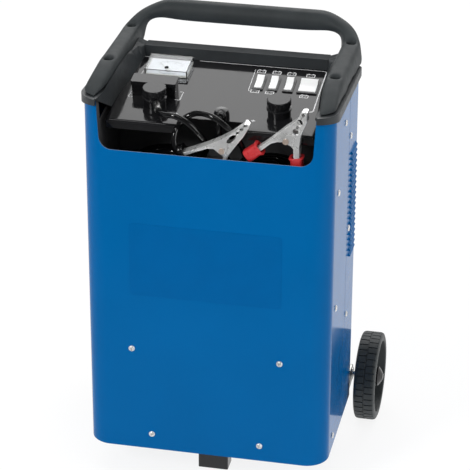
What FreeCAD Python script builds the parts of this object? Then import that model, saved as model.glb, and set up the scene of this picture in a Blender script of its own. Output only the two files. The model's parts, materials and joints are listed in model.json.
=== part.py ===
"""A wheeled battery charger: steel cabinet, console, leads with clamps, wheels.

Millimetres. +Z is up, the front faces -Y, and the origin is on the floor under the middle.
Sizes ending in _y count back from the cabinet's front face, and those ending in _z count up
from the cabinet's bottom edge. Sizes ending in _v run up the sloping control panel.
"""
import FreeCAD, Part
import math
import os

os.makedirs("parts", exist_ok=True)
doc = FreeCAD.newDocument("battery_charger")
Vec = FreeCAD.Vector
Turn = FreeCAD.Rotation

SIZES = {
    "cabinet": {
        "front_y": -155.6,
        "body_bottom": 52.5,
        "body_width": 340,
        "body_depth": 213,
        "side_height": 523,
        "sheet": 1.2,
        "corner_radius": 32,
        "rear_radius": 6,
        "seam_y": 139,
        "seam_gap": 1.2,
        "tab_width": 12,
        "fit": 0.2,
        "tab_room": 1.6,
        "opening_width": 287,
        "opening_flare": 4.5,
        "opening_z": 455.5,
        "opening_radius": 18,
        "base_flange": 18,
    },
    "louvres": {
        "louvre_count": 20,
        "louvre_pitch": 8.2,
        "louvre_z": 252,
        "louvre_y": 158,
        "louvre_length": 38,
        "louvre_height": 5,
        "louvre_out": 3,
    },
    "screws": {
        "screw_radius": 2,
        "head_radius": 4.4,
        "head_height": 2.4,
        "front_top_x": 103.8,
        "front_top_z": 158,
        "front_low_x": 76.8,
        "front_low_z": 24,
        "flank_front_y": 57,
        "flank_back_y": 150,
        "flank_top_y": 104,
    },
    "foot and wheels": {
        "foot_width": 43,
        "foot_depth": 27,
        "foot_y": 49.5,
        "foot_wall": 2.5,
        "axle_behind": 37,
        "axle_y": "=body_depth + axle_behind",
        "axle_radius": 5,
        "axle_running": 0.06,
        "wheel_radius": 65,
        "wheel_aside": 8,
        "wheel_inner_x": "=body_width / 2 + wheel_aside",
        "wheel_width": 31,
        "tread_depth": 1.4,
        "tread_groove": 1.8,
        "tread_blocks": 40,
        "tread_band": 1.6,
        "shoulder": 5,
        "rim_radius": 53,
        "hub_radius": 16,
        "hub_length": 26,
        "spokes": 6,
        "cap_height": 9,
        "ear_inset": 6.5,
        "ear_x": "=body_width / 2 - ear_inset",
        "ear_thick": 3,
        "ear_radius": 13,
        "washer_radius": 9,
        "washer_thick": 1.5,
    },
    "handle": {
        "handle_overhang": 2,
        "handle_width": "=body_width + 2 * handle_overhang",
        "arm_width": 31,
        "arm_taper": 6,
        "arm_z": 546.5,
        "crease_z": 526,
        "crease_fall": 9.5,
        "nose": -4,
        "grip_behind": 54,
        "grip_y": "=body_depth + grip_behind",
        "grip_z": 560,
        "grip_depth": 30,
        "grip_height": 27,
        "bend_radius": 62,
        "bend_steps": 9,
        "nose_radius": 30,
        "fall_y": 94,
        "nose_fall": 19.5,
        "knee": 10,
        "recess_inset": 17,
        "recess_x": "=handle_width / 2 - recess_inset",
        "recess_front_y": 98.5,
        "recess_behind": 13,
        "recess_back_y": "=body_depth + recess_behind",
        "recess_radius": 6.5,
        "recess_depth": 16,
    },
    "console frame": {
        "ledge": 3.5,
        "skirt": 3.8,
        "skirt_front_z": 512,
        "skirt_rise": 8,
        "skirt_back_z": 504,
        "wall_foot_x": 128,
        "wall_flare": 12.5,
        "flare_front_y": 50,
        "wall": 3,
        "front_cut_y": 57,
        "rail_inset": 16,
        "rail_y": "=body_depth - rail_inset",
        "rail_depth": 14.4,
        "rail_z": 528.6,
        "rail_foot_z": 506,
    },
    "control panel": {
        "lip_y": 24,
        "lip_z": 487.7,
        "panel_tilt": 8.5,
        "panel_sheet": 1.5,
        "panel_width": 281,
        "panel_behind_rail": 1,
        "panel_depth": "=rail_y + panel_behind_rail - lip_y",
        "lip_drop": 8,
        "notch_left": -45,
        "notch_right": 52,
        "notch_depth": 22,
        "notch_radius": 10,
    },
    "meter": {
        "meter_x": -87,
        "meter_v": 143.5,
        "meter_width": 60,
        "meter_depth": 43,
        "meter_height": 10,
        "meter_wall": 1.5,
        "meter_back_radius": 19,
        "meter_back": 24,
        "needle_length": 21,
    },
    "fuse box": {
        "fuse_x": -91,
        "fuse_v": 78,
        "fuse_width": 62,
        "fuse_depth": 22,
        "fuse_height": 22,
        "fuse_lid": 6,
    },
    "terminals": {
        "terminal_x": 85,
        "terminal_v": 50.6,
        "stud_radius": 4,
        "base_radius": 15.5,
        "base_height": 9,
        "knob_radius": 16.2,
        "knob_height": 15,
        "flange_radius": 17,
        "lug_thick": 1.6,
        "lug_reach": 34,
    },
    "lead outlet": {
        "gland_x": 11,
        "gland_v": 31,
        "gland_radius": 10.5,
        "gland_nose": 12,
        "gland_rise": 6.5,
    },
    "rockers": {
        "rocker_v": 124.7,
        "bezel_width": 14.5,
        "bezel_depth": 35,
        "wide_bezel": 28,
        "bezel_rise": 1.8,
        "bezel_below": 14,
        "rocker_length": 28,
        "rocker_side": 2.3,
        "rocker_angle": 8,
    },
    "lead tray": {
        "tray_width": 300,
        "tray_depth": 127,
        "tray_floor_z": 402.3,
        "tray_wall": 1.6,
    },
    "leads": {
        "lead_diameter": 8,
        "coil_x": 72,
        "coil_y": 76,
        "coil_radius": 44,
        "coil_pitch": 8.3,
        "coil_turns": 2,
    },
    "clamps": {
        "clamp_y": 13.8,
        "jaw_length": 50,
        "arm_angle": 43,
        "arm_length": 60,
        "arm_thick": 10,
        "clamp_sheet": 1.2,
        "outer_jaw_width": 16.6,
        "inner_jaw_width": 13.6,
        "sleeve_width": 20.4,
        "sleeve_thick": 19.6,
        "left_sleeve": 22,
        "right_sleeve": 35,
        "sleeve_wall": 1.2,
        "pin_radius": 2.5,
        "pin_running": 0.05,
        "pin_head": 1.2,
        "black_clamp_x": 21.4,
        "black_clamp_z": 465,
        "black_clamp_lean": 41.6,
        "red_clamp_x": 106.7,
        "red_clamp_z": 486.9,
        "red_clamp_lean": 22.5,
    },
    "inside": {
        "core_width": 150,
        "core_depth": 70,
        "core_height": 126,
        "core_y": 107,
        "core_limb": 25,
        "winding_gap": 0.2,
        "winding_build": 22,
        "sink_width": 120,
        "sink_depth": 60,
        "sink_base": 6,
        "sink_height": 70,
        "fin_count": 9,
        "fin": 2,
        "diode_radius": 8,
        "mains_z": 60,
        "mains_radius": 9,
    },
}

ROCKER_PLACES = {1: 43.5, 2: 63.2, 3: 84.6, 4: 110.9}
FLANK_FRONT_HEIGHTS = (396, 222, 20)
FLANK_BACK_HEIGHTS = (440, 300, 165)
FLANK_TOP_HEIGHT = 478

# Which half of each clamp, left and right, holds its lead
CLAMP_HALVES = {"black": ("fixed", "moving"), "red": ("moving", "fixed")}

# Lead routes, each point as x, distance back from the front face, height above the cabinet's bottom
BLACK_LEAD = [
    (11, 41.8, 496.9),
    (11, 36.4, 496.1),
    (11.6, 31.6, 489.5),
    (12.5, 31.5, 478),
    (14.5, 33.6, 461),
    (18, 40, 444.5),
    (22, 50, 430),
    (25.5, 61, 420),
    (27.8, 72, 415.4),
]
BLACK_LEAD_END = [
    (72, 32.2, 407.6),
    (64, 31, 410.5),
    (56.5, 29.4, 421),
    (51.5, 28.4, 437),
    (48, 28.4, 454),
    (42, 28.6, 469),
    (32, 27.6, 481),
    (20, 25.4, 492.5),
    (6, 25.4, 502),
    (-8, 34, 504.5),
    (-19, 44.5, 500.6),
    (-31.5, 46.5, 497.4),
    (-41, 39, 497.5),
    (-47, 28, 499.5),
    (-52.5, 18, 494.5),
    (-57.5, 14, 483.5),
    (-58.5, 13.8, 471.5),
    (-53.5, 13.8, 462.3),
    (-44, 13.8, 459.4),
]
RED_LEAD = [
    (-72, 41, 499.3),
    (-67.5, 31.5, 499.8),
    (-58, 24, 503),
    (-46.5, 20.4, 509),
    (-34, 20.4, 505.5),
    (-24, 22.6, 495),
    (-17, 25.5, 482),
    (-12, 28.5, 467),
    (-12, 35, 451),
    (-16.5, 45, 436),
    (-21.5, 56, 423.5),
    (-26.5, 68, 416),
]
RED_LEAD_END = [
    (-74, 32.2, 406.9),
    (-62, 29.6, 406.9),
    (-42, 29.2, 406.9),
    (-20, 29.6, 407),
    (2, 29.9, 407),
    (22, 29.7, 407),
    (37, 26, 407),
    (52, 16, 407.2),
    (74, 13.4, 407.2),
    (98, 13.6, 407.4),
    (121, 13.8, 409.2),
    (131.4, 13.8, 418.6),
    (127.98, 13.8, 429.43),
]


def fill_sheet():
    """Writes every driving size into one spreadsheet, with its name as the cell's alias."""
    made = doc.addObject("Spreadsheet::Sheet", "Sizes")
    row = 0
    for group, sizes in SIZES.items():
        row += 1
        made.set(f"A{row}", group)
        for name, value in sizes.items():
            row += 1
            made.set(f"A{row}", name)
            made.set(f"B{row}", str(value))
            made.setAlias(f"B{row}", name)
    doc.recompute()
    return made


sheet = fill_sheet()
kept = []


def size(name):
    return float(sheet.get(name))


def bind(thing, **expressions):
    """Ties properties to the sheet: $name in an expression is the cell of that name."""
    for path, expression in expressions.items():
        thing.setExpression(path.replace("__", "."), expression.replace("$", "Sizes."))


def keep(thing, label):
    """Names a finished sub-part, which is then written to its own file."""
    thing.Label = label
    kept.append(thing)
    return thing


def from_front(distance):
    return size("front_y") + distance


def from_bottom(height):
    return size("body_bottom") + height


def rounded_outline(corners):
    """The lines and arcs of a closed outline; each corner is x, y or x, y, radius."""
    count = len(corners)
    starts, ends, arcs = [], [], []
    for i, corner in enumerate(corners):
        here = Vec(corner[0], corner[1])
        radius = corner[2] if len(corner) > 2 else 0
        before = Vec(*corners[i - 1][:2]) - here
        after = Vec(*corners[(i + 1) % count][:2]) - here
        before.normalize()
        after.normalize()
        if radius <= 0:
            starts.append(here)
            ends.append(here)
            arcs.append(None)
            continue
        half = before.getAngle(after) / 2
        reach = radius / math.tan(half)
        middle = before + after
        middle.normalize()
        centre = here + middle * (radius / math.sin(half))
        arc_start, arc_end = here + before * reach, here + after * reach
        arcs.append(Part.Arc(arc_start, centre - middle * radius, arc_end))
        starts.append(arc_start)
        ends.append(arc_end)
    edges = []
    for i in range(count):
        if arcs[i]:
            edges.append(arcs[i])
        following = (i + 1) % count
        if (starts[following] - ends[i]).Length > 1e-6:
            edges.append(Part.LineSegment(ends[i], starts[following]))
    return edges


def wire_of(corners):
    return Part.Wire([edge.toShape() for edge in rounded_outline(corners)])


def block_outline(x0, x1, y0, y1, radius=0):
    return [(x0, y0, radius), (x1, y0, radius), (x1, y1, radius), (x0, y1, radius)]


def start_body(name):
    return doc.addObject("PartDesign::Body", name)


def draw(body, role, name, outlines=(), circles=(), lift=None):
    """A sketch on one of the body's own planes, lifted along that plane's normal by an expression."""
    made = body.newObject("Sketcher::SketchObject", name)
    plane = [feature for feature in body.Origin.OriginFeatures if feature.Role == role][0]
    made.AttachmentSupport = (plane, "")
    made.MapMode = "FlatFace"
    if lift:
        bind(made, AttachmentOffset__Base__z=lift)
    for corners in outlines:
        made.addGeometry(rounded_outline(corners), False)
    for x, y, radius in circles:
        made.addGeometry(Part.Circle(Vec(x, y, 0), Vec(0, 0, 1), radius), False)
    return made


def pad(body, profile, length, centred=False, back=False):
    made = body.newObject("PartDesign::Pad", profile.Name + "Pad")
    made.Profile = profile
    if centred:
        made.SideType = "Symmetric"
    made.Reversed = back
    bind(made, Length=length)
    return made


def pocket(body, profile, length, centred=True, back=False):
    made = body.newObject("PartDesign::Pocket", profile.Name + "Cut")
    made.Profile = profile
    if centred:
        made.SideType = "Symmetric"
    made.Reversed = back
    bind(made, Length=length)
    return made


def revolve(body, profile):
    """Turns a profile drawn in the XZ plane about the body's own Z axis."""
    made = body.newObject("PartDesign::Revolution", profile.Name + "Turned")
    made.Profile = profile
    made.ReferenceAxis = (profile, ["V_Axis"])
    made.Angle = 360
    return made


def ring_of(body, feature, count):
    """Repeats a feature round the body's Z axis."""
    made = body.newObject("PartDesign::PolarPattern", feature.Name + "Ring")
    made.Originals = [feature]
    made.Axis = (feature.Profile[0], ["N_Axis"])
    made.Angle = 360
    bind(made, Occurrences=count)
    body.Tip = made
    return made


def round_edges(body, radius, chosen):
    """Fillets the edges of the body's present shape for which chosen(edge) is true."""
    doc.recompute()
    base = body.Tip
    names = [f"Edge{i + 1}" for i, edge in enumerate(base.Shape.Edges) if chosen(edge)]
    made = body.newObject("PartDesign::Fillet", base.Name + "Round")
    made.Base = (base, names)
    bind(made, Radius=radius)
    return made


def plain(name, shape, placement=None):
    """A sub-part whose shape is worked out here from the sheet's sizes."""
    made = doc.addObject("Part::Feature", name)
    made.Shape = shape
    if placement:
        made.Placement = placement.multiply(shape.Placement)
    return made


def box(x0, x1, y0, y1, z0, z1):
    return Part.makeBox(x1 - x0, y1 - y0, z1 - z0, Vec(x0, y0, z0))


def rod(start, end, radius):
    """A round bar between two points."""
    line = Vec(*end) - Vec(*start)
    return Part.makeCylinder(radius, line.Length, Vec(*start), line)


def turned(profile, base=Vec(0, 0, 0)):
    """A solid turned about Z from corners given as radius, height."""
    points = [Vec(radius, 0, height) + base for radius, height in profile]
    face = Part.Face(Part.makePolygon(points + points[:1]))
    return face.revolve(base, Vec(0, 0, 1), 360)


def prism(corners, along, start, length):
    """An outline drawn across the given axis and pushed along it from start."""
    turns = {"x": Turn(Vec(1, 1, 1), 120), "y": Turn(Vec(1, 0, 0), 90), "z": Turn()}
    way = {"x": Vec(1, 0, 0), "y": Vec(0, 1, 0), "z": Vec(0, 0, 1)}[along]
    face = Part.Face(wire_of(corners))
    face.Placement = FreeCAD.Placement(way * start, turns[along])
    return face.extrude(way * length)


def both_sides(shape):
    """The shape and its mirror image across the middle of the cabinet."""
    return [shape, shape.mirror(Vec(0, 0, 0), Vec(1, 0, 0))]


def merged(shapes):
    whole = shapes[0].fuse(list(shapes[1:]))
    return whole.removeSplitter()


def on_panel():
    """The placement that puts a piece made flat onto the sloping control panel."""
    corner = Vec(0, from_front(size("lip_y")), from_bottom(size("lip_z")))
    return FreeCAD.Placement(corner, Turn(Vec(1, 0, 0), size("panel_tilt")))


def sit_on_panel(thing):
    """Ties a piece made flat to the panel's corner and slope."""
    thing.Placement = on_panel()
    bind(
        thing,
        Placement__Base__y="$front_y + $lip_y",
        Placement__Base__z="$body_bottom + $lip_z",
        Placement__Rotation__Angle="$panel_tilt",
    )


def cabinet_outline(gap):
    """The cabinet's plan, drawn inwards by gap, as corners with radii."""
    half, front = size("body_width") / 2 - gap, from_front(gap)
    back = from_front(size("body_depth") - gap)
    front_radius = size("corner_radius") - gap
    back_radius = max(size("rear_radius") - gap, 1)
    near = [(-half, front, front_radius), (half, front, front_radius)]
    return near + [(half, back, back_radius), (-half, back, back_radius)]


def make_base_plate():
    """The cabinet's floor, a tray of sheet with its edge turned up inside the walls."""
    body = start_body("BasePlate")
    gap = size("sheet") + size("tab_room")
    plan = draw(body, "XY_Plane", "BasePlan", [cabinet_outline(gap)], lift="$body_bottom")
    pad(body, plan, "$base_flange")
    inside = [cabinet_outline(gap + size("sheet"))]
    hollow = draw(body, "XY_Plane", "BaseHollow", inside, lift="$body_bottom + $sheet")
    pocket(body, hollow, "$base_flange", centred=False, back=True)
    keep(body, "base_plate")


def front_plan():
    half, thick = size("body_width") / 2, size("sheet")
    front, seam, radius = from_front(0), from_front(size("seam_y")), size("corner_radius")
    outer = [(half, seam), (half, front, radius), (-half, front, radius), (-half, seam)]
    inner = [(-half + thick, seam), (-half + thick, front + thick, radius - thick)]
    inner += [(half - thick, front + thick, radius - thick), (half - thick, seam)]
    return outer + inner


def crease_at(back):
    """The height of the line between handle and console frame, which falls towards the back."""
    return size("crease_z") - size("crease_fall") * back / size("body_depth")


def slanted_top(drop):
    """The space above a line parallel to the crease, as an outline seen from the flank."""
    near, far, high = -60, size("body_depth") + 60, size("crease_z") + 60
    corners = [(near, crease_at(near) - drop), (far, crease_at(far) - drop), (far, high), (near, high)]
    return [(from_front(back), from_bottom(height)) for back, height in corners]


def flank_screw_places(column):
    if column == "back":
        return [(from_front(size("flank_back_y")), from_bottom(height)) for height in FLANK_BACK_HEIGHTS]
    places = [(from_front(size("flank_front_y")), from_bottom(height)) for height in FLANK_FRONT_HEIGHTS]
    return places + [(from_front(size("flank_top_y")), from_bottom(FLANK_TOP_HEIGHT))]


def front_screw_places():
    high = [(side * size("front_top_x"), from_bottom(size("front_top_z"))) for side in (-1, 1)]
    low = [(side * size("front_low_x"), from_bottom(size("front_low_z"))) for side in (-1, 1)]
    return high + low


def make_front_shell():
    body = start_body("FrontShell")
    plan = draw(body, "XY_Plane", "ShellPlan", [front_plan()], lift="$body_bottom")
    pad(body, plan, "$side_height")
    half, low = size("opening_width") / 2, from_bottom(size("opening_z"))
    high = from_bottom(size("side_height") + 10)
    radius = size("opening_radius")
    wide = half + size("opening_flare")
    opening = [(-half, low, radius), (half, low, radius), (wide, high), (-wide, high)]
    cut = draw(body, "XZ_Plane", "Opening", [opening], lift="-$front_y")
    pocket(body, cut, "$corner_radius")
    holes = [(x, z, size("screw_radius")) for x, z in front_screw_places()]
    pocket(body, draw(body, "XZ_Plane", "FrontHoles", circles=holes, lift="-$front_y"), "$corner_radius")
    holes = [(y, z, size("screw_radius")) for y, z in flank_screw_places("front")]
    pocket(body, draw(body, "YZ_Plane", "FlankHoles", circles=holes), "$body_width + 10")
    top = draw(body, "YZ_Plane", "ShellTop", [slanted_top(size("ledge") + size("fit"))])
    pocket(body, top, "$body_width + 10")
    keep(body, "front_shell")


def rear_plan():
    """The rear cover's plan with the stepped tab that slips behind the front shell's edge."""
    half, thick = size("body_width") / 2, size("sheet")
    back, radius = from_front(size("body_depth")), size("rear_radius")
    edge = from_front(size("seam_y") + size("seam_gap"))
    tab = from_front(size("seam_y") - size("tab_width"))
    step = thick + size("fit")
    right_outer = [(half - step, tab), (half - step, edge), (half, edge), (half, back, radius)]
    right_inner = [(half - thick, back - thick, radius - thick), (half - thick, edge + thick)]
    right_inner += [(half - step - thick, edge + thick), (half - step - thick, tab)]
    left_outer = [(-corner[0],) + corner[1:] for corner in reversed(right_outer)]
    left_inner = [(-corner[0],) + corner[1:] for corner in reversed(right_inner)]
    return right_outer + left_outer + left_inner + right_inner


def louvre_shapes():
    """The pressed hoods on the right flank and the slits under them."""
    face_x, thick = size("body_width") / 2, size("sheet")
    tall, out = size("louvre_height"), size("louvre_out")
    start, length = from_front(size("louvre_y")), size("louvre_length")
    hoods, slits = [], []
    for number in range(int(size("louvre_count"))):
        low = from_bottom(size("louvre_z") + number * size("louvre_pitch"))
        outer = [(face_x - thick / 2, low), (face_x + out, low), (face_x + out, low + 1), (face_x - thick / 2, low + tall + 1)]
        inner = [(face_x - thick, low - 1), (face_x + out - thick, low - 1), (face_x + out - thick, low + 0.4), (face_x - thick, low + tall)]
        hood = prism(outer, "y", start, length)
        slit = prism(inner, "y", start + thick, length - 2 * thick)
        slits.append(slit)
        hoods.append(hood)
    return hoods, slits


def make_rear_cover():
    body = start_body("RearCover")
    plan = draw(body, "XY_Plane", "CoverPlan", [rear_plan()], lift="$body_bottom")
    pad(body, plan, "$side_height")
    holes = [(y, z, size("screw_radius")) for y, z in flank_screw_places("back")]
    pocket(body, draw(body, "YZ_Plane", "CoverHoles", circles=holes), "$body_width + 10")
    top = draw(body, "YZ_Plane", "CoverTop", [slanted_top(size("ledge") + size("fit"))])
    pocket(body, top, "$body_width + 10")
    inlet = [(0, from_bottom(size("mains_z")), size("mains_radius") + size("fit"))]
    lift = "-($front_y + $body_depth)"
    pocket(body, draw(body, "XZ_Plane", "MainsHole", circles=inlet, lift=lift), "10")
    doc.recompute()
    hoods, slits = louvre_shapes()
    hoods = [piece for hood in hoods for piece in both_sides(hood)]
    slits = [piece for slit in slits for piece in both_sides(slit)]
    raised = doc.addObject("Part::MultiFuse", "LouvreHoods")
    raised.Shapes = [body, plain("Hoods", Part.makeCompound(hoods))]
    cut = doc.addObject("Part::Cut", "LouvredCover")
    cut.Base = raised
    cut.Tool = plain("Slits", Part.makeCompound(slits))
    keep(cut, "rear_cover")


def pan_head(radius, height, shank_radius, shank_length):
    """A screw standing on the XY plane, its head up and its shank down."""
    head = turned([(0, 0), (radius, 0), (radius, height * 0.4), (radius * 0.6, height), (0, height)])
    shank = Part.makeCylinder(shank_radius, shank_length, Vec(0, 0, -shank_length))
    return head.fuse(shank).removeSplitter()


def placed(shape, point, direction):
    """A copy of a shape made along +Z, turned to a direction and moved to a point."""
    copy = shape.copy()
    copy.Placement = FreeCAD.Placement(Vec(*point), Turn(Vec(0, 0, 1), Vec(*direction)))
    return copy


def make_case_screws():
    screw = pan_head(size("head_radius"), size("head_height"), size("screw_radius") - 0.1, 8)
    front = [placed(screw, (x, from_front(0), z), (0, -1, 0)) for x, z in front_screw_places()]
    keep(plain("FrontScrews", Part.makeCompound(front)), "front_screws")
    edge = size("body_width") / 2
    sides = []
    for y, z in flank_screw_places("front") + flank_screw_places("back"):
        sides.append(placed(screw, (edge, y, z), (1, 0, 0)))
        sides.append(placed(screw, (-edge, y, z), (-1, 0, 0)))
    keep(plain("SideScrews", Part.makeCompound(sides)), "side_screws")


def make_foot():
    body = start_body("Foot")
    half, front = size("foot_width") / 2, from_front(size("foot_y"))
    depth, wall = size("foot_depth"), size("foot_wall")
    plan = draw(body, "XY_Plane", "FootPlan", [block_outline(-half, half, front, front + depth, 2)])
    pad(body, plan, "$body_bottom")
    inner = block_outline(-half + wall, half - wall, front + wall, front + depth + 5)
    hollow = draw(body, "XY_Plane", "FootHollow", [inner], lift="$foot_wall")
    pocket(body, hollow, "$body_bottom - 2 * $foot_wall", centred=False, back=True)
    keep(body, "foot")


def make_axle():
    axle = doc.addObject("Part::Cylinder", "Axle")
    axle.Placement = FreeCAD.Placement(Vec(0, 0, 0), Turn(Vec(0, 1, 0), 90))
    bind(
        axle,
        Radius="$axle_radius",
        Height="2 * ($wheel_inner_x + $hub_length + 4)",
        Placement__Base__x="-($wheel_inner_x + $hub_length + 4)",
        Placement__Base__y="$front_y + $axle_y",
        Placement__Base__z="$wheel_radius",
    )
    keep(axle, "axle")


def make_axle_brackets():
    """Folded ears under the cabinet's back edge, each with a flange bolted to the floor plate."""
    bottom, axle_z = size("body_bottom"), size("wheel_radius")
    axle_y, radius = from_front(size("axle_y")), size("ear_radius")
    thick, inner = size("ear_thick"), size("ear_x")
    back = from_front(size("body_depth")) + 1
    start = from_front(size("seam_y"))
    ear = [
        (start, bottom),
        (start, bottom - thick),
        (axle_y - radius, bottom - thick),
        (axle_y + radius, axle_z - radius, radius * 0.9),
        (axle_y + radius, axle_z + radius, radius * 0.9),
        (back, axle_z + radius, 3),
        (back, bottom),
    ]
    plate = prism(ear, "x", inner, thick)
    flange = box(inner - 26, inner + thick, start, back - 6, bottom - thick, bottom)
    bore = rod((inner - 1, axle_y, axle_z), (inner + thick + 1, axle_y, axle_z), size("axle_radius") + size("axle_running"))
    bracket = merged([plate, flange]).cut(bore)
    keep(plain("AxleBrackets", Part.makeCompound(both_sides(bracket))), "axle_brackets")


def make_axle_washers():
    y, z = from_front(size("axle_y")), size("wheel_radius")
    thick, radius = size("washer_thick"), size("washer_radius")
    bore = size("axle_radius") + size("axle_running")
    rings = []
    for x in (size("ear_x") + size("ear_thick") + 0.2, size("wheel_inner_x") - thick - 0.3):
        outer = rod((x, y, z), (x + thick, y, z), radius)
        rings.append(outer.cut(rod((x - 1, y, z), (x + thick + 1, y, z), bore)))
    rings = [piece for ring in rings for piece in both_sides(ring)]
    keep(plain("AxleWashers", Part.makeCompound(rings)), "axle_washers")


def wheel_profile():
    """Half of the wheel's section as radius and distance from the inner face."""
    bore = size("axle_radius") + size("axle_running")
    hub, rim, top, round_off = size("hub_radius"), size("rim_radius"), size("wheel_radius"), size("shoulder")
    width, length, band = size("wheel_width"), size("hub_length"), size("tread_band") / 2
    floor = top - size("tread_depth")
    return [
        (bore, 0),
        (hub, 0),
        (hub + 1, 8, 2),
        (rim - 4, 6, 4),
        (rim - 2, 1),
        (top - round_off, 0),
        (top - 0.2 * round_off, 0.3 * round_off, 3),
        (top, round_off, 8),
        (top, width / 2 - band),
        (floor, width / 2 - band),
        (floor, width / 2 + band),
        (top, width / 2 + band),
        (top, width - round_off, 8),
        (top - 0.2 * round_off, width - 0.3 * round_off, 3),
        (top - round_off, width),
        (rim, width, 1.5),
        (rim - 2.5, 17, 3),
        (hub + 3, 13, 4),
        (hub, length - 4),
        (hub - 1.5, length),
        (bore, length),
    ]


def make_wheel(side, label):
    body = start_body("Wheel" + label)
    section = draw(body, "XZ_Plane", "WheelSection" + label, [wheel_profile()])
    revolve(body, section)
    floor, over, half = size("wheel_radius") - size("tread_depth"), size("wheel_radius") + 1, size("tread_groove") / 2
    step = math.pi / size("tread_blocks")
    rows = (("Inner", "-1", 0), ("Outer", "$wheel_width / 2 + $tread_band / 2", step))
    for row, low, turn in rows:
        corners = [(floor, -half), (over, -half), (over, half), (floor, half)]
        spun = [(x * math.cos(turn) - y * math.sin(turn), x * math.sin(turn) + y * math.cos(turn)) for x, y in corners]
        groove = draw(body, "XY_Plane", row + "Groove" + label, [spun], lift=low)
        cut = pocket(body, groove, "$wheel_width / 2 - $tread_band / 2 + 1", centred=False, back=True)
        ring_of(body, cut, "$tread_blocks")
    hub, rim = size("hub_radius") + 6, size("rim_radius") - 6
    spread = math.pi / size("spokes") * 0.66
    window = [(hub, -hub * math.tan(spread * 0.8), 3), (rim, -rim * math.tan(spread), 4)]
    window += [(rim, rim * math.tan(spread), 4), (hub, hub * math.tan(spread * 0.8), 3)]
    opening = draw(body, "XY_Plane", "Window" + label, [window])
    ring_of(body, pocket(body, opening, "3 * $wheel_width"), "$spokes")
    place_wheel_piece(body, side)
    keep(body, "wheel_" + label)


def place_wheel_piece(body, side):
    body.Placement = FreeCAD.Placement(Vec(0, 0, 0), Turn(Vec(0, 1, 0), 90 * side))
    bind(
        body,
        Placement__Base__x=f"{side} * $wheel_inner_x",
        Placement__Base__y="$front_y + $axle_y",
        Placement__Base__z="$wheel_radius",
    )


def make_hub_cap(side, label):
    body = start_body("HubCap" + label)
    base, tall = size("hub_length") + 0.1, size("cap_height")
    outer, inner = size("hub_radius") - 2, size("axle_radius") + 0.8
    profile = [(inner, base), (outer, base), (outer, base + 2.5), (outer * 0.72, base + tall * 0.62)]
    profile += [(outer * 0.3, base + tall), (0, base + tall), (0, base + 5), (inner, base + 5)]
    revolve(body, draw(body, "XZ_Plane", "CapSection" + label, [profile]))
    place_wheel_piece(body, side)
    keep(body, "hub_cap_" + label)


def nose_trim():
    """What is cut from the right arm's front end so that it follows the cabinet's corner."""
    half, front, radius = size("handle_width") / 2, from_front(-size("nose")), size("nose_radius")
    low, high = from_bottom(size("crease_z") - 60), from_bottom(size("arm_z") + 20)
    block = box(half - radius, half + 10, front - 20, front + radius, low, high)
    corner = Part.makeCylinder(radius, high - low, Vec(half - radius, front + radius, low))
    ahead = box(0, half + 10, front - 30, front, low, high)
    return [block.cut(corner), ahead]


def smooth_step(start, end, value):
    """0 before start, 1 past end, and a smooth rise between them."""
    share = min(max((value - start) / (end - start), 0), 1)
    return share * share * (3 - 2 * share)


def handle_stations():
    """The right half's sections from grip to nose: x, y, heading, middle height, how far to arm and to nose."""
    middle_x = (size("handle_width") - size("arm_width")) / 2
    bend, steps = size("bend_radius") - size("arm_width") / 2, int(size("bend_steps"))
    centre_x, centre_y = middle_x - bend, size("grip_y") - bend
    arm, grip = size("arm_z") - size("grip_height") / 2, size("grip_z")
    stations = []
    for number in range(steps + 1):
        turn = math.pi / 2 * number / steps
        height = grip + (arm - grip) * smooth_step(-0.15, 1, number / steps)
        x, back = centre_x + bend * math.sin(turn), centre_y + bend * math.cos(turn)
        stations.append((x, back, 90 - math.degrees(turn), height, smooth_step(0.2, 1, number / steps), 0))
    stations.append((middle_x, centre_y - 20, 0, arm, 1, 0))
    fall_y, nose = size("fall_y"), size("nose")
    for share in (1, 0.8, 0.64, 0.48, 0.32, 0.16, 0, -0.14):
        fall = (1 - share) * fall_y / (fall_y + nose)
        back = share * fall_y
        stations.append((middle_x, back, 0, arm - size("nose_fall") * fall**1.5, 1, to_nose(back)))
    return stations


def to_nose(back):
    """0 where the arm is full, 1 at its front end."""
    return 1 - smooth_step(size("nose"), size("fall_y"), back)


def between(grip, arm, nose, arm_share, nose_share):
    """A size of the section that changes from the grip to the arm and on to the nose."""
    full = grip + (arm - grip) * arm_share
    return full + (nose - full) * nose_share


def handle_section(x, back, heading, height, arm_share, nose_share):
    """The handle's section across its line: rounded outside, with a ridge towards the console."""
    half, tall = size("arm_width") / 2, size("grip_height") / 2
    lean, outer_round = between(0, 5, 0.5, arm_share, nose_share), between(11, 9, 3.5, arm_share, nose_share)
    ridge, ridge_round = between(6, 3.4, 1, arm_share, nose_share), between(6, 2.5, 1.2, arm_share, nose_share)
    inner, low = size("arm_taper") * nose_share - half, -tall - between(0, 6, 6, arm_share, nose_share)
    corners = [(half, low, 3), (half - lean, tall, outer_round), (inner + ridge, tall, ridge_round)]
    corners += [(inner, tall - size("knee"), 5), (inner, low, 3)]
    section = wire_of(corners)
    upright = FreeCAD.Placement(Vec(0, 0, 0), Turn(Vec(1, 0, 0), 90))
    stand = FreeCAD.Placement(Vec(x, from_front(back), from_bottom(height)), Turn(Vec(0, 0, 1), heading))
    section.Placement = stand.multiply(upright)
    return section


def arm_floor():
    """Everything below the sloping line where the arms stand on the console frame."""
    far = size("body_depth") + 9
    corners = [(-60, size("crease_z") - 60), (far, size("crease_z") - 60), (far, crease_at(far)), (-60, crease_at(-60))]
    return prism([(from_front(y), from_bottom(z)) for y, z in corners], "x", *across())


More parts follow.
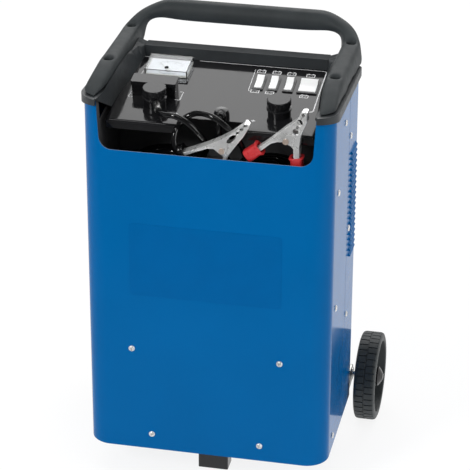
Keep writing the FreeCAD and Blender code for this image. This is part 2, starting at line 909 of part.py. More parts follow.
def make_handle():
    """One moulding: two arms and a raised grip, lofted through its sections and trimmed below."""
    right = handle_stations()
    left = [(-x, back, 180 - heading) + tuple(rest) for x, back, heading, *rest in right[::-1]]
    blank = Part.makeLoft([handle_section(*station) for station in left + right], True, True)
    trims = [arm_floor()] + [piece for trim in nose_trim() for piece in both_sides(trim)]
    pits = []
    for y in (size("recess_front_y"), size("recess_back_y")):
        top = from_bottom(size("arm_z") + 12)
        bottom = from_bottom(size("arm_z") - size("recess_depth"))
        for x in (-size("recess_x"), size("recess_x")):
            pits.append(rod((x, from_front(y), bottom), (x, from_front(y), top), size("recess_radius")))
            shank = size("screw_radius") + size("fit")
            pits.append(rod((x, from_front(y), bottom - 40), (x, from_front(y), bottom), shank))
    keep(plain("Handle", blank.cut(trims + pits)), "handle")


def make_handle_screws():
    screw = pan_head(size("head_radius"), size("head_height"), size("screw_radius"), 14)
    bottom = from_bottom(size("arm_z") - size("recess_depth"))
    places = [(x, from_front(y), bottom) for x in (-size("recess_x"), size("recess_x"))
              for y in (size("recess_front_y"), size("recess_back_y"))]
    shapes = [placed(screw, place, (0, 0, 1)) for place in places]
    keep(plain("HandleScrews", Part.makeCompound(shapes)), "handle_screws")


def ring(inset_outer, inset_inner):
    """The cabinet's plan as a closed band between two distances outside its walls."""
    low, tall = from_bottom(size("opening_z")), size("side_height")
    outer = prism(cabinet_outline(-inset_outer), "z", low, tall)
    return outer.cut(prism(cabinet_outline(-inset_inner), "z", low, tall))


def frame_skirt():
    """The rim that hangs outside the cabinet's top edge, deeper towards the back."""
    front_z, back_z, far = size("skirt_front_z"), size("skirt_back_z"), size("body_depth") + 20
    above = [(-20, front_z + size("skirt_rise")), (30, front_z, 40), (far, back_z), (far, crease_at(far)), (-20, crease_at(-20))]
    above = [(from_front(point[0]), from_bottom(point[1])) + tuple(point[2:]) for point in above]
    return ring(size("skirt"), size("fit")).common(prism(above, "x", *across()))


def across():
    """The start and the length of a prism that passes the whole cabinet from side to side."""
    return -size("body_width"), 2 * size("body_width")


def frame_web():
    """The ledge on top of the cabinet's walls, which the handle's arms stand on."""
    outer = prism(cabinet_outline(-size("skirt")), "z", from_bottom(size("opening_z")), size("side_height"))
    slab = slanted_top(size("ledge"))[:2] + slanted_top(0)[1::-1]
    plate = outer.common(prism(slab, "x", *across()))
    places = wall_places() + [size("rail_y")]
    edge = [(web_edge(places[0]), from_front(-30))] + [(web_edge(back), from_front(back)) for back in places]
    hole = prism(edge + [(-x, y) for x, y in edge[::-1]], "z", from_bottom(size("opening_z")), size("side_height"))
    return plate.cut(hole)


def arm_top(back):
    """The height of the arm's top, which falls towards the front."""
    fall = max(size("fall_y") - back, 0) / (size("fall_y") + size("nose"))
    return size("arm_z") - size("nose_fall") * fall**1.5


def arm_inner(back):
    """How far from the middle the arm's inner side stands."""
    return size("handle_width") / 2 - size("arm_width") + size("arm_taper") * to_nose(back)


def panel_height(back):
    """The height of the control panel's top face."""
    return size("lip_z") + (back - size("lip_y")) * math.tan(math.radians(size("panel_tilt")))


def wall_corners(back):
    """The inner wall's top and foot, as distance from the middle and height."""
    foot = size("wall_foot_x") + size("wall_flare") * (1 - smooth_step(size("flare_front_y"), size("rail_y"), back))
    high = max(arm_top(back) - size("knee"), crease_at(back) - size("fit") / 2)
    return (arm_inner(back) - 1, high), (foot, panel_height(back) - size("wall"))


def web_edge(back):
    """Where the ledge ends inside the wall's thickness."""
    (top_x, high), (foot, low) = wall_corners(back)
    middle = crease_at(back) - size("ledge") / 2
    return foot + (top_x - foot) * (middle - low) / (high - low) + size("wall") / 5


def wall_places():
    """How far behind the front the wall's sections stand."""
    start, end, fall = size("sheet") + size("fit"), size("rail_y"), size("fall_y")
    return [start] + [fall * share for share in (0.2, 0.35, 0.5, 0.65, 0.8, 1)] + [end - 60, end - 30]


def wall_section(back, full=0):
    """The inner wall's section; full runs to 1 where the wall fills the corner beside the rail."""
    (top_x, high), (foot, low) = wall_corners(back)
    limit = arm_inner(back) - size("fit")
    top_x, rise = top_x + (foot - 1 - top_x) * full, size("knee") * 0.7 * full
    outline = [(top_x, high + rise), (foot, low), (foot + size("wall"), low), (limit, high - 6), (limit, high + rise)]
    points = [Vec(x, from_front(back), from_bottom(z)) for x, z in outline]
    return Part.makePolygon(points + points[:1])


def frame_wall():
    """The right inner wall, which stands on the control panel and thickens beside the rail."""
    end = size("rail_y") + size("rail_depth")
    sections = [wall_section(back) for back in wall_places()]
    sections += [wall_section(end - 26, 0.25), wall_section(end - 13, 0.8), wall_section(end, 1)]
    wall = Part.makeLoft(sections, True, True)
    half, length, under = size("handle_width") / 2, size("body_depth"), 60
    low = box(0, half, 0, length, -under, size("fit") / 4)
    low.Placement = on_panel()
    cut_y = size("front_cut_y")
    corner = [(-1, crease_at(0) - 1), (cut_y, panel_height(cut_y)), (cut_y, 0), (-1, 0)]
    corner = prism([(from_front(y), from_bottom(z)) for y, z in corner], "x", 0, half)
    return wall.cut([low, corner])


def make_console_frame():
    """One moulding: skirt, ledge, two inner walls and a rail across the back, open at the front."""
    foot_x, back = size("wall_foot_x"), size("rail_y") + size("rail_depth")
    gap = size("opening_width") / 2 + size("opening_flare")
    rail = box(-foot_x - 1, foot_x + 1, from_front(size("rail_y")), from_front(back),
               from_bottom(size("rail_foot_z")), from_bottom(size("rail_z")))
    lip_low = from_bottom(crease_at(size("body_depth")) - size("ledge"))
    lip = box(-foot_x - 1, foot_x + 1, from_front(back - 1), from_front(size("body_depth") + size("skirt")),
              lip_low, from_bottom(size("rail_z")))
    frame = merged([frame_skirt(), frame_web(), rail, lip] + both_sides(frame_wall()))
    cuts = [box(-gap, gap, from_front(-30), from_front(size("sheet")), from_bottom(470), from_bottom(600))]
    for y in (size("recess_front_y"), size("recess_back_y")):
        for x in (-size("recess_x"), size("recess_x")):
            low, high = from_bottom(480), from_bottom(560)
            cuts.append(rod((x, from_front(y), low), (x, from_front(y), high), size("screw_radius") + size("fit")))
    keep(plain("ConsoleFrame", frame.cut(cuts)), "console_frame")


def make_control_panel():
    body = start_body("ControlPanel")
    half, depth, notch = size("panel_width") / 2, size("panel_depth"), size("notch_depth")
    left, right, radius = size("notch_left"), size("notch_right"), size("notch_radius")
    outline = [(-half, 0), (left, 0), (left, notch, radius), (right, notch, radius), (right, 0), (half, 0)]
    outline += [(half, depth), (-half, depth)]
    flat = draw(body, "XY_Plane", "PanelFlat", [outline], lift="-$panel_sheet")
    pad(body, flat, "$panel_sheet")
    lips = [block_outline(-half, left, 0, size("panel_sheet")), block_outline(right, half, 0, size("panel_sheet"))]
    pad(body, draw(body, "XY_Plane", "PanelLip", lips, lift="-$lip_drop"), "$lip_drop - $panel_sheet / 2")
    holes = panel_holes()
    pocket(body, draw(body, "XY_Plane", "PanelRound", circles=holes[1]), "20")
    pocket(body, draw(body, "XY_Plane", "PanelSquare", holes[0]), "20")
    sit_on_panel(body)
    keep(body, "control_panel")


def bezel_width(number):
    return size("wide_bezel") if number == 4 else size("bezel_width")


def panel_holes():
    """The rectangular and the round holes of the control panel, in its own flat frame."""
    square, fit = [], size("fit")
    for number, x in ROCKER_PLACES.items():
        half, deep = bezel_width(number) / 2 - 1.5 + fit, size("bezel_depth") / 2 - 1.5 + fit
        square.append(block_outline(x - half, x + half, size("rocker_v") - deep, size("rocker_v") + deep))
    circles = [(side * size("terminal_x"), size("terminal_v"), size("stud_radius") + 2 + fit) for side in (-1, 1)]
    circles.append((size("meter_x"), size("meter_v"), size("meter_back_radius") + fit))
    circles.append((size("gland_x"), size("gland_v"), size("gland_radius") - 3.5 + fit))
    return square, circles


def make_lead_tray():
    """An open tray behind the front's cut-out and under the control panel."""
    wall, half = size("tray_wall"), size("tray_width") / 2
    front, back = from_front(size("sheet") + size("fit")), from_front(size("tray_depth"))
    floor, top = from_bottom(size("tray_floor_z")), from_bottom(size("side_height"))
    outer = box(-half, half, front, back, floor - wall, top)
    inner = box(-half + wall, half - wall, front + wall, back - wall, floor, top + 1)
    low_front = box(-half + wall, half - wall, front - 1, front + wall + 1, from_bottom(size("opening_z") - 2), top + 1)
    reach, drop = size("body_depth"), size("panel_sheet") + 0.3
    above = Part.makeBox(2 * half + 20, reach, 120, Vec(-half - 10, 0, -drop))
    above.Placement = on_panel().multiply(above.Placement)
    lid = prism(slanted_top(size("ledge") + 2 * size("fit")), "x", *across())
    tray = outer.cut([inner, low_front, above, lid])
    keep(plain("LeadTray", tray.common(rounded_cabinet_keep())), "lead_tray")


def rounded_cabinet_keep():
    """The space inside the cabinet's sheet, which keeps the tray's front corners off its bends."""
    gap = size("sheet") + size("fit")
    return prism(cabinet_outline(gap), "z", from_bottom(0), size("side_height"))


def make_meter():
    x, v = size("meter_x"), size("meter_v")
    half, deep, tall, wall = size("meter_width") / 2, size("meter_depth") / 2, size("meter_height"), size("meter_wall")
    dial_z = 3
    case = Part.makeCylinder(size("meter_back_radius"), size("meter_back"), Vec(x, v, -size("meter_back")))
    inset = wall + size("fit") / 2
    tray = prism(block_outline(x - half + inset, x + half - inset, v - deep + inset, v + deep - inset, 1), "z", 0,
                 dial_z - 0.6)
    keep(plain("MeterCase", merged([case, tray]), on_panel()), "meter_case")
    dial = prism(block_outline(x - half + 2.5, x + half - 2.5, v - deep + 2.5, v + deep - 2.5, 1), "z", dial_z - 0.6, 0.6)
    keep(plain("MeterDial", dial, on_panel()), "meter_dial")
    pivot_v = v - deep + 12
    arm = [(-1.1, -5), (1.1, -5), (0.35, size("needle_length")), (-0.35, size("needle_length"))]
    needle = prism(arm, "z", 0, 0.5)
    hub = Part.makeCylinder(2.4, 2.15, Vec(0, 0, -1.15))
    needle = merged([needle, hub])
    needle.rotate(Vec(0, 0, 0), Vec(0, 0, 1), 42)
    needle.translate(Vec(x, pivot_v, dial_z + 1.2))
    keep(plain("MeterNeedle", needle, on_panel()), "meter_needle")
    cover = prism(block_outline(x - half, x + half, v - deep, v + deep, 1.5), "z", 0, tall)
    room = prism(block_outline(x - half + wall, x + half - wall, v - deep + wall, v + deep - wall, 1), "z", -1, tall - wall + 1)
    keep(plain("MeterCover", cover.cut(room), on_panel()), "meter_cover")


def make_fuse_box():
    x, v = size("fuse_x"), size("fuse_v")
    half, deep, tall, lid = size("fuse_width") / 2, size("fuse_depth") / 2, size("fuse_height"), size("fuse_lid")
    base = prism(block_outline(x - half + 1, x + half - 1, v - deep + 1, v + deep - 1, 1), "z", 0, tall - lid)
    pit = prism(block_outline(x - half + 4, x + half - 4, v - deep + 4, v + deep - 4), "z", 4, tall)
    posts = [Part.makeCylinder(3, tall - lid - 4, Vec(x + side * 20, v, 4)) for side in (-1, 1)]
    keep(plain("FuseBase", merged([base.cut(pit)] + posts), on_panel()), "fuse_base")
    strip = prism([(x - 24, v - 4), (x + 24, v - 4), (x + 24, v + 4), (x - 24, v + 4)], "z", tall - lid, 1)
    keep(plain("FuseStrip", strip, on_panel()), "fuse_strip")
    cover = prism(block_outline(x - half, x + half, v - deep, v + deep, 2), "z", tall - lid, lid)
    room = prism(block_outline(x - half + 2, x + half - 2, v - deep + 2, v + deep - 2), "z", tall - lid - 1, lid - 1.5)
    keep(plain("FuseCover", cover.cut(room), on_panel()), "fuse_cover")


def make_terminal(side, label, lift):
    """An insulating base, and a fluted knob that screws down on its stud."""
    x, v = side * size("terminal_x"), size("terminal_v")
    stud, radius, tall = size("stud_radius"), size("base_radius"), size("base_height")
    base = turned([(stud, -8), (stud + 2, -8), (stud + 2, 0), (radius, 0), (radius, tall - 1), (radius - 1, tall), (stud, tall)])
    base.translate(Vec(x, v, 0))
    keep(plain("TerminalBase" + label, base, on_panel()), "terminal_base_" + label)
    body = start_body("TerminalKnob" + label)
    bore, knob, flange, height = stud + 0.06, size("knob_radius"), size("flange_radius"), size("knob_height")
    profile = [(bore, 0), (flange, 0), (flange, 1.6), (knob - 1.4, 2.6), (knob - 1.4, 6), (knob, 7)]
    profile += [(knob, height - 1.2), (knob - 1.2, height), (0, height), (0, height - 2.5), (bore, height - 2.5)]
    revolve(body, draw(body, "XZ_Plane", "KnobSection" + label, [profile]))
    flute = draw(body, "XY_Plane", "Flute" + label, circles=[(knob + 1.1, 0, 1.9)], lift="7")
    ring_of(body, pocket(body, flute, "$knob_height - 8.5", centred=False, back=True), "18")
    rest = on_panel().multVec(Vec(x, v, tall + 0.15 + lift))
    body.Placement = FreeCAD.Placement(rest, Turn(Vec(1, 0, 0), size("panel_tilt")))
    keep(body, "terminal_knob_" + label)


def make_terminal_studs():
    top = size("base_height") + size("knob_height") - 4
    studs = []
    for side in (-1, 1):
        x, v = side * size("terminal_x"), size("terminal_v")
        shaft = Part.makeCylinder(size("stud_radius"), top + 22, Vec(x, v, -22))
        nut = prism([(7 * math.cos(math.radians(60 * i)), 7 * math.sin(math.radians(60 * i))) for i in range(6)], "z", -14, 6)
        nut.translate(Vec(x, v, 0))
        studs.append(merged([shaft, nut]))
    keep(plain("TerminalStuds", Part.makeCompound(studs), on_panel()), "terminal_studs")


def make_red_lug():
    """The crimped ring lug under the left knob, with its barrel towards the slot."""
    reach, thick, stud = size("lug_reach"), size("lug_thick"), size("stud_radius")
    ring = Part.makeCylinder(9, thick).cut(Part.makeCylinder(stud + 0.2, thick * 3, Vec(0, 0, -thick)))
    tongue = box(6, reach - 14, -4.5, 4.5, 0, thick)
    barrel = rod((reach - 17, 0, thick / 2), (reach, 0, thick / 2), size("lead_diameter") / 2 + 0.8)
    lug = merged([ring, tongue, barrel])
    aim = Vec(RED_LEAD[0][0] + size("terminal_x"), RED_LEAD[0][1] - RED_LEAD[1][1] - 44, 0)
    lug.rotate(Vec(0, 0, 0), Vec(0, 0, 1), math.degrees(math.atan2(aim.y, aim.x)))
    lug.translate(Vec(-size("terminal_x"), size("terminal_v"), size("base_height") + 0.05))
    keep(plain("RedLeadLug", lug, on_panel()), "red_lead_lug")


def make_lead_gland():
    """The ribbed elbow through which the negative lead comes out of the panel."""
    x, v, radius, rise, nose = size("gland_x"), size("gland_v"), size("gland_radius"), size("gland_rise"), size("gland_nose")
    dome = turned([(0, -10), (radius - 3.5, -10), (radius - 3.5, 0), (radius, 0), (radius, rise), (radius - 2, rise + 5), (0, rise + 6.5)])
    dome.translate(Vec(x, v, 0))
    snout = rod((x, v, rise), (x, v - nose, rise), size("lead_diameter") / 2 + 2)
    ribs = [rod((x, v - nose + 0.6 + 3.2 * i, rise), (x, v - nose + 2.2 + 3.2 * i, rise), size("lead_diameter") / 2 + 2.6) for i in range(2)]
    floor = box(x - 20, x + 20, v - 40, v + 20, -20, 0)
    whole = merged([dome, snout] + ribs)
    stem = Part.makeCylinder(radius - 3.5, 10, Vec(x, v, -10))
    keep(plain("LeadGland", merged([whole.cut(floor), stem]), on_panel()), "lead_gland")


def make_rockers():
    v, deep, rise, below = size("rocker_v"), size("bezel_depth") / 2, size("bezel_rise"), size("bezel_below")
    bezels = []
    for number, x in ROCKER_PLACES.items():
        half = bezel_width(number) / 2
        rim = prism(block_outline(x - half, x + half, v - deep, v + deep, 1.2), "z", 0, rise)
        case = prism(block_outline(x - half + 1.5, x + half - 1.5, v - deep + 1.5, v + deep - 1.5), "z", -below, below)
        side, reach = half - size("rocker_side"), size("rocker_length") / 2
        well = prism(block_outline(x - side - 0.2, x + side + 0.2, v - reach - 1, v + reach + 1), "z", -8, 20)
        bezels.append(merged([rim, case]).cut(well))
        profile = [(-reach, 4.6, 0.8), (0, 2.2, 30), (reach, 4.6, 0.8), (reach - 1.6, -5, 1), (1.6 - reach, -5, 1)]
        rocker = prism(profile, "x", x - side, 2 * side)
        rocker.rotate(Vec(0, 0, 0), Vec(1, 0, 0), size("rocker_angle"))
        rocker.translate(Vec(0, v, 0.6))
        keep(plain(f"Rocker{number}", rocker, on_panel()), f"rocker_{number}")
    keep(plain("RockerBezels", Part.makeCompound(bezels), on_panel()), "rocker_bezels")


def route(points):
    return [Vec(x, from_front(y), from_bottom(z)) for x, y, z in points]


def bent_path(points):
    """Straight runs joined by tangent arcs, each as wide as its two runs allow; and its radii."""
    edges, at, radii = [], points[0], []
    for i in range(1, len(points) - 1):
        here = points[i]
        before, after = points[i - 1] - here, points[i + 1] - here
        shorter = min(before.Length, after.Length)
        before.normalize()
        after.normalize()
        turn = math.pi - before.getAngle(after)
        reach = 0.45 * shorter
        radii.append(reach / math.tan(turn / 2))
        middle = before + after
        middle.normalize()
        centre = here + middle * (radii[-1] / math.cos(turn / 2))
        start, end = here + before * reach, here + after * reach
        edges.append(Part.LineSegment(at, start).toShape())
        edges.append(Part.Arc(start, centre - middle * radii[-1], end).toShape())
        at = end
    edges.append(Part.LineSegment(at, points[-1]).toShape())
    return Part.Wire(edges), radii


def make_lead(points, label):
    """A round tube along the route; its volume is checked against section times length."""
    line = route(points)
    path, radii = bent_path(line)
    print(label, "arc radii", [round(bend, 1) for bend in radii])
    radius = size("lead_diameter") / 2
    ring = Part.Wire(Part.makeCircle(radius, line[0], line[1] - line[0]))
    tube = path.makePipeShell([ring], True, True)
    wanted = math.pi * radius**2 * path.Length
    if abs(tube.Volume - wanted) > 0.01 * wanted:
        raise ValueError(f"{label}: the tube's volume is {tube.Volume:.0f}, not {wanted:.0f}")
    print(label, "length", round(path.Length))
    keep(plain(label, tube), label)


def make_lead_coil(side, label):
    """The outer shape of a stored coil: two flat layers of turns on the tray's floor."""
    radius, outer = size("lead_diameter") / 2, size("coil_radius") + size("lead_diameter") / 2
    inner = size("coil_radius") - (size("coil_turns") - 1) * size("coil_pitch") - radius
    low, high = 0, size("coil_pitch") + size("lead_diameter")
    section = [(inner, low, 3.5), (outer, low, 3.5), (outer, high, 3.5), (inner, high, 3.5)]
    face = Part.Face(wire_of(section))
    face.rotate(Vec(0, 0, 0), Vec(1, 0, 0), 90)
    coil = face.revolve(Vec(0, 0, 0), Vec(0, 0, 1), 360)
    place = Vec(side * size("coil_x"), from_front(size("coil_y")), from_bottom(size("tray_floor_z") + 0.2))
    coil.translate(place)
    keep(plain(label, coil), label)


def arm_point(along, aside):
    """A point beside the arm: along it from the pivot, and aside from its middle line."""
    angle = math.radians(size("arm_angle"))
    x = along * math.sin(angle) + aside * math.cos(angle)
    return x, -along * math.cos(angle) + aside * math.sin(angle)


def outer_edge():
    """The back of a clamp half, from the jaw's tip past the pivot to the arm's end."""
    tall = size("jaw_length")
    half_arm = size("arm_thick") / 2
    return [
        (0.4, tall),
        (6.5, tall, 2.5),
        (9.8, tall - 9, 5),
        (14, 11, 18),
        arm_point(22, half_arm) + (14,),
        arm_point(size("arm_length"), half_arm),
    ]


def inner_edge():
    """The front of a clamp half, from the arm's end back up to the jaw's tip."""
    half_arm = size("arm_thick") / 2
    return [
        arm_point(size("arm_length"), -half_arm),
        arm_point(20, -half_arm) + (7,),
        (-5.5, -5.5, 4),
        (-5.5, 6, 4),
        (0.4, 12, 2),
    ]


def drawn_in(points, distance):
    """An open line of corners moved sideways by a distance, to the right of its direction."""
    moved = []
    for i, point in enumerate(points):
        here = Vec(point[0], point[1])
        before = here - Vec(*points[i - 1][:2]) if i else None
        after = Vec(*points[i + 1][:2]) - here if i + 1 < len(points) else None
        sides = [Vec(step.y, -step.x) / step.Length for step in (before, after) if step]
        middle = sides[0] + sides[-1]
        spot = here + middle * (2 * distance / middle.Length**2)
        radius = (max(point[2] - distance, 0.5),) if len(point) > 2 else ()
        moved.append((spot.x, spot.y) + radius)
    return moved



def clamp_half(width):
    """One pressed steel half: a web along its back, and two flanks with teeth and a pivot hole."""
    back, thick, tall = outer_edge(), size("clamp_sheet"), size("jaw_length")
    web = prism(back + drawn_in(back, thick)[::-1], "y", -width / 2, width)
    flank = back + inner_edge()
    flanks = [prism(flank, "y", start, thick) for start in (-width / 2, width / 2 - thick)]
    half = merged([web] + flanks)
    bites = [(tall - 7, 2.6), (tall - 19, 4.6)] + [(tall - down, 1.1) for down in (2.5, 12.6, 26)]
    cuts = [rod((0, -width, height), (0, width, height), radius) for height, radius in bites]
    hole = size("pin_radius") + size("pin_running")
    cuts.append(rod((0, -width, 0), (0, width, 0), hole))
    return half.cut(cuts)


def pivot_pin():
    """The rivet through both halves, with its two heads outside the wider half."""
    radius, head = size("pin_radius"), size("pin_head")
    half = size("outer_jaw_width") / 2 + size("fit")
    shank = rod((0, -half, 0), (0, half, 0), radius)
    heads = [rod((0, side * half, 0), (0, side * (half + head), 0), radius * 1.6) for side in (-1, 1)]
    return merged([shank] + heads)


def clamp_sleeve(width, length):
    """The insulating sleeve pushed over the end of an arm."""
    arm, slack = size("arm_length"), size("fit")
    half_wide, half_thick = size("sleeve_thick") / 2, size("sleeve_width") / 2
    start = -arm - size("sleeve_wall")
    sleeve = prism(block_outline(-half_wide, half_wide, -half_thick, half_thick, 6), "z", start, length)
    half_arm = size("arm_thick") / 2 + slack
    room = box(-half_arm, half_arm, -width / 2 - slack, width / 2 + slack, -arm - slack, 0)
    sleeve = sleeve.cut(room)
    sleeve.rotate(Vec(0, 0, 0), Vec(0, 1, 0), -size("arm_angle"))
    return sleeve


def clamp_spring():
    """The torsion spring's coil round the pivot pin, between the flanks."""
    outer = rod((0, -4.6, 0), (0, 4.6, 0), 5)
    return outer.cut(rod((0, -9, 0), (0, 9, 0), size("pin_radius") + 1))


def clamp_stand(colour):
    """Where a clamp's pivot is and how far its jaws lean to the right."""
    x, z = size(colour + "_clamp_x"), from_bottom(size(colour + "_clamp_z"))
    return FreeCAD.Placement(Vec(x, from_front(size("clamp_y")), z), Turn(Vec(0, 1, 0), size(colour + "_clamp_lean")))


def make_clamp(colour):
    """Two jaws that open against a spring; one half holds the lead, the other one swings."""
    left, right = CLAMP_HALVES[colour]
    widths = {left: size("inner_jaw_width"), right: size("outer_jaw_width")}
    for half, width in widths.items():
        length = size("left_sleeve" if half == left else "right_sleeve")
        for piece, shape in (("jaw", clamp_half(width)), ("sleeve", clamp_sleeve(width, length))):
            if half == left:
                shape = shape.mirror(Vec(0, 0, 0), Vec(1, 0, 0))
            label = f"{colour}_clamp_{half}_{piece}"
            keep(plain(label, shape, clamp_stand(colour)), label)


def make_clamp_pins():
    """The rivets and the springs that sit on both clamps' pivots."""
    for label, shape in (("clamp_rivets", pivot_pin()), ("clamp_springs", clamp_spring())):
        copies = []
        for colour in ("black", "red"):
            copy = shape.copy()
            copy.Placement = clamp_stand(colour)
            copies.append(copy)
        keep(plain(label, Part.makeCompound(copies)), label)


def make_transformer():
    wide, deep, tall, limb = size("core_width"), size("core_depth"), size("core_height"), size("core_limb")
    y, floor = from_front(size("core_y")), from_bottom(size("sheet"))
    body = start_body("TransformerCore")
    half, middle = wide / 2, limb
    frame = block_outline(-half, half, floor, floor + tall)
    right_window = block_outline(middle, half - limb, floor + limb, floor + tall - limb)
    left_window = block_outline(-half + limb, -middle, floor + limb, floor + tall - limb)
    windows = [right_window, left_window]
    plan = draw(body, "XZ_Plane", "CoreFace", [frame] + windows, lift="-($front_y + $core_y)")
    pad(body, plan, "$core_depth", centred=True)
    keep(body, "transformer_core")
    gap, build = size("winding_gap"), size("winding_build")
    low, high = floor + limb + gap, floor + tall - limb - gap
    split = low + (high - low) * 0.55
    for label, bottom, top, grow in (("primary_winding", low, split - 1, build), ("secondary_winding", split + 1, high, build - 3)):
        outer = box(-middle - grow, middle + grow, y - deep / 2 - grow, y + deep / 2 + grow, bottom, top)
        upright = [edge for edge in outer.Edges if edge.BoundBox.XLength + edge.BoundBox.YLength < 0.01]
        outer = outer.makeFillet(10, upright)
        inner = box(-middle - gap, middle + gap, y - deep / 2 - gap, y + deep / 2 + gap, bottom - 1, top + 1)
        keep(plain(label, outer.cut(inner)), label)


def make_rectifier():
    """A finned heat sink standing on the transformer, with four diodes on its plate."""
    wide, deep, base, tall = size("sink_width"), size("sink_depth"), size("sink_base"), size("sink_height")
    y, floor = from_front(size("core_y")), from_bottom(size("sheet") + size("core_height"))
    plate = box(-wide / 2, wide / 2, y - deep / 2, y + deep / 2, floor, floor + base)
    count = int(size("fin_count"))
    fins = []
    for i in range(count):
        x = -wide / 2 + (wide - size("fin")) * i / (count - 1)
        if i % 2 == 0 or count < 4:
            fins.append(box(x, x + size("fin"), y - deep / 2, y + deep / 2, floor, floor + tall))
    keep(plain("HeatSink", merged([plate] + fins)), "heat_sink")
    radius = size("diode_radius")
    pitch = 2 * (wide - size("fin")) / (count - 1)
    diodes = []
    for i in (-1.5, -0.5, 0.5, 1.5):
        button = turned([(0, 0), (radius, 0), (radius, 4), (3, 7), (3, 16), (0, 16)])
        button.translate(Vec(i * pitch, y, floor + base))
        diodes.append(button)
    keep(plain("RectifierDiodes", Part.makeCompound(diodes)), "rectifier_diodes")


def make_mains_gland():
    """The bush in the back sheet where a mains cord goes in."""
    back, radius = size("body_depth"), size("mains_radius")
    bush = turned([(4, -8), (radius, -8), (radius, 0), (radius + 4, 0), (radius + 4, 3), (radius - 1, 12), (4, 12)])
    place = Vec(0, from_front(back) + 0.05, from_bottom(size("mains_z")))
    stand = FreeCAD.Placement(place, Turn(Vec(0, 0, 1), Vec(0, 1, 0)))
    keep(plain("MainsGland", bush, stand), "mains_gland")


def check_all():
    """Stops with a message if any object failed or any sub-part isn't sound."""
    for thing in doc.Objects:
        if "Invalid" in thing.State or "Error" in thing.State:
            raise ValueError(f"{thing.Name} failed: {thing.State}")
    for thing in kept:
        if thing.Shape.isNull() or not thing.Shape.isValid():
            raise ValueError(f"{thing.Label}: its shape isn't sound")
        if thing.Shape.Volume <= 0:
            raise ValueError(f"{thing.Label}: its shape is inside out")


def main():
    make_base_plate()
    make_front_shell()
    make_rear_cover()
    make_case_screws()
    make_foot()
    make_axle()
    make_axle_brackets()
    make_axle_washers()
    for side, label in ((-1, "left"), (1, "right")):
        make_wheel(side, label)
        make_hub_cap(side, label)
    make_handle()
    make_handle_screws()
    make_console_frame()
    make_control_panel()
    make_lead_tray()
    make_meter()
    make_fuse_box()
    make_terminal(-1, "left", size("lug_thick") + 0.1)
    make_terminal(1, "right", 0)
    make_terminal_studs()
    make_red_lug()
    make_lead_gland()
    make_rockers()
    make_lead(BLACK_LEAD, "black_lead")
    make_lead(BLACK_LEAD_END, "black_lead_end")
    make_lead(RED_LEAD, "red_lead")
    make_lead(RED_LEAD_END, "red_lead_end")
    make_lead_coil(1, "black_lead_coil")
    make_lead_coil(-1, "red_lead_coil")
    make_clamp("black")
    make_clamp("red")
    make_clamp_pins()
    make_transformer()
    make_rectifier()
    make_mains_gland()
    doc.recompute()
    check_all()
    for thing in kept:
        thing.Shape.exportStep(f"parts/{thing.Label}.step")
    print(len(kept), "sub-parts written")


main()
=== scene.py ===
import json
import math

import bmesh
import bpy
from mathutils import Matrix, Vector


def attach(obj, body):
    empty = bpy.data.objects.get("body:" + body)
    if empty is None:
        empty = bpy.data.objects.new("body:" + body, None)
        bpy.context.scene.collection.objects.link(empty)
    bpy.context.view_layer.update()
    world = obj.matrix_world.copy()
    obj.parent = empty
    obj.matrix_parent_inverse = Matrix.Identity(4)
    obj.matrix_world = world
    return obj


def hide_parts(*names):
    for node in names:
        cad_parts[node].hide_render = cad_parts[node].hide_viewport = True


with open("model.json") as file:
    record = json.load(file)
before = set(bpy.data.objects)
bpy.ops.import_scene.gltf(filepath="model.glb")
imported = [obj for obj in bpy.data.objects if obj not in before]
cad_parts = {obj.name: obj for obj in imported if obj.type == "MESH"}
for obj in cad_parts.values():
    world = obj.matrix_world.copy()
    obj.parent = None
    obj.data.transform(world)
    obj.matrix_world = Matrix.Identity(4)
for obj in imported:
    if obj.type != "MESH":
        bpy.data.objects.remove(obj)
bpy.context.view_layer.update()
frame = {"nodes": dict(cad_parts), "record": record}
nodes = frame["nodes"]
bpy.context.scene.view_settings.view_transform = "Standard"

# Places and outlines are in millimetres, for at(), on_panel() and on_arm(). Sizes that a mesh, a curve or
# a modifier takes as they are, such as 0.008, are in metres.
# The cabinet's front face in depth and its bottom edge in height, in the record's frame
FRONT, BOTTOM = -155.6, 52.5
PANEL_TILT = math.radians(8.5)
LIP_Y, LIP_Z = 24, 487.7
# Vertices nearer together than this, in metres, are one
SAME_PLACE = 1e-6


def at(x, y, z):
    """A point counted from the cabinet's front face and bottom edge, in metres in the frame."""
    return Vector((x, FRONT + y, BOTTOM + z)) / 1000


def on_panel(x, v, height=0.0):
    """A point on the sloping panel: across, up its slope from the lip, and above its face."""
    y = LIP_Y + v * math.cos(PANEL_TILT) - height * math.sin(PANEL_TILT)
    return at(x, y, LIP_Z + v * math.sin(PANEL_TILT) + height * math.cos(PANEL_TILT))


# Camera

def make_camera():
    """The photograph's camera: a long lens from the front, a little to the right and above."""
    azimuth, elevation, roll = (math.radians(angle) for angle in (11.874, 26.164, 0.246))
    distance, aside, above = 3.1459, -0.01962, 0.0044
    target = Vector((0, -0.0556, 0.3525))
    back = Vector((math.sin(azimuth) * math.cos(elevation), -math.cos(azimuth) * math.cos(elevation),
                   math.sin(elevation)))
    level = Vector((math.cos(azimuth), math.sin(azimuth), 0))
    upright = back.cross(level)
    right = level * math.cos(roll) + upright * math.sin(roll)
    up = upright * math.cos(roll) - level * math.sin(roll)
    data = bpy.data.cameras.new("Camera")
    data.lens, data.sensor_width, data.clip_end = 174.21, 36, 30
    camera = bpy.data.objects.new("Camera", data)
    turn = Matrix((right, up, back)).transposed().to_4x4()
    camera.matrix_world = Matrix.Translation(target + back * distance - right * aside - up * above) @ turn
    bpy.context.scene.collection.objects.link(camera)
    bpy.context.scene.camera = camera


make_camera()


# Materials

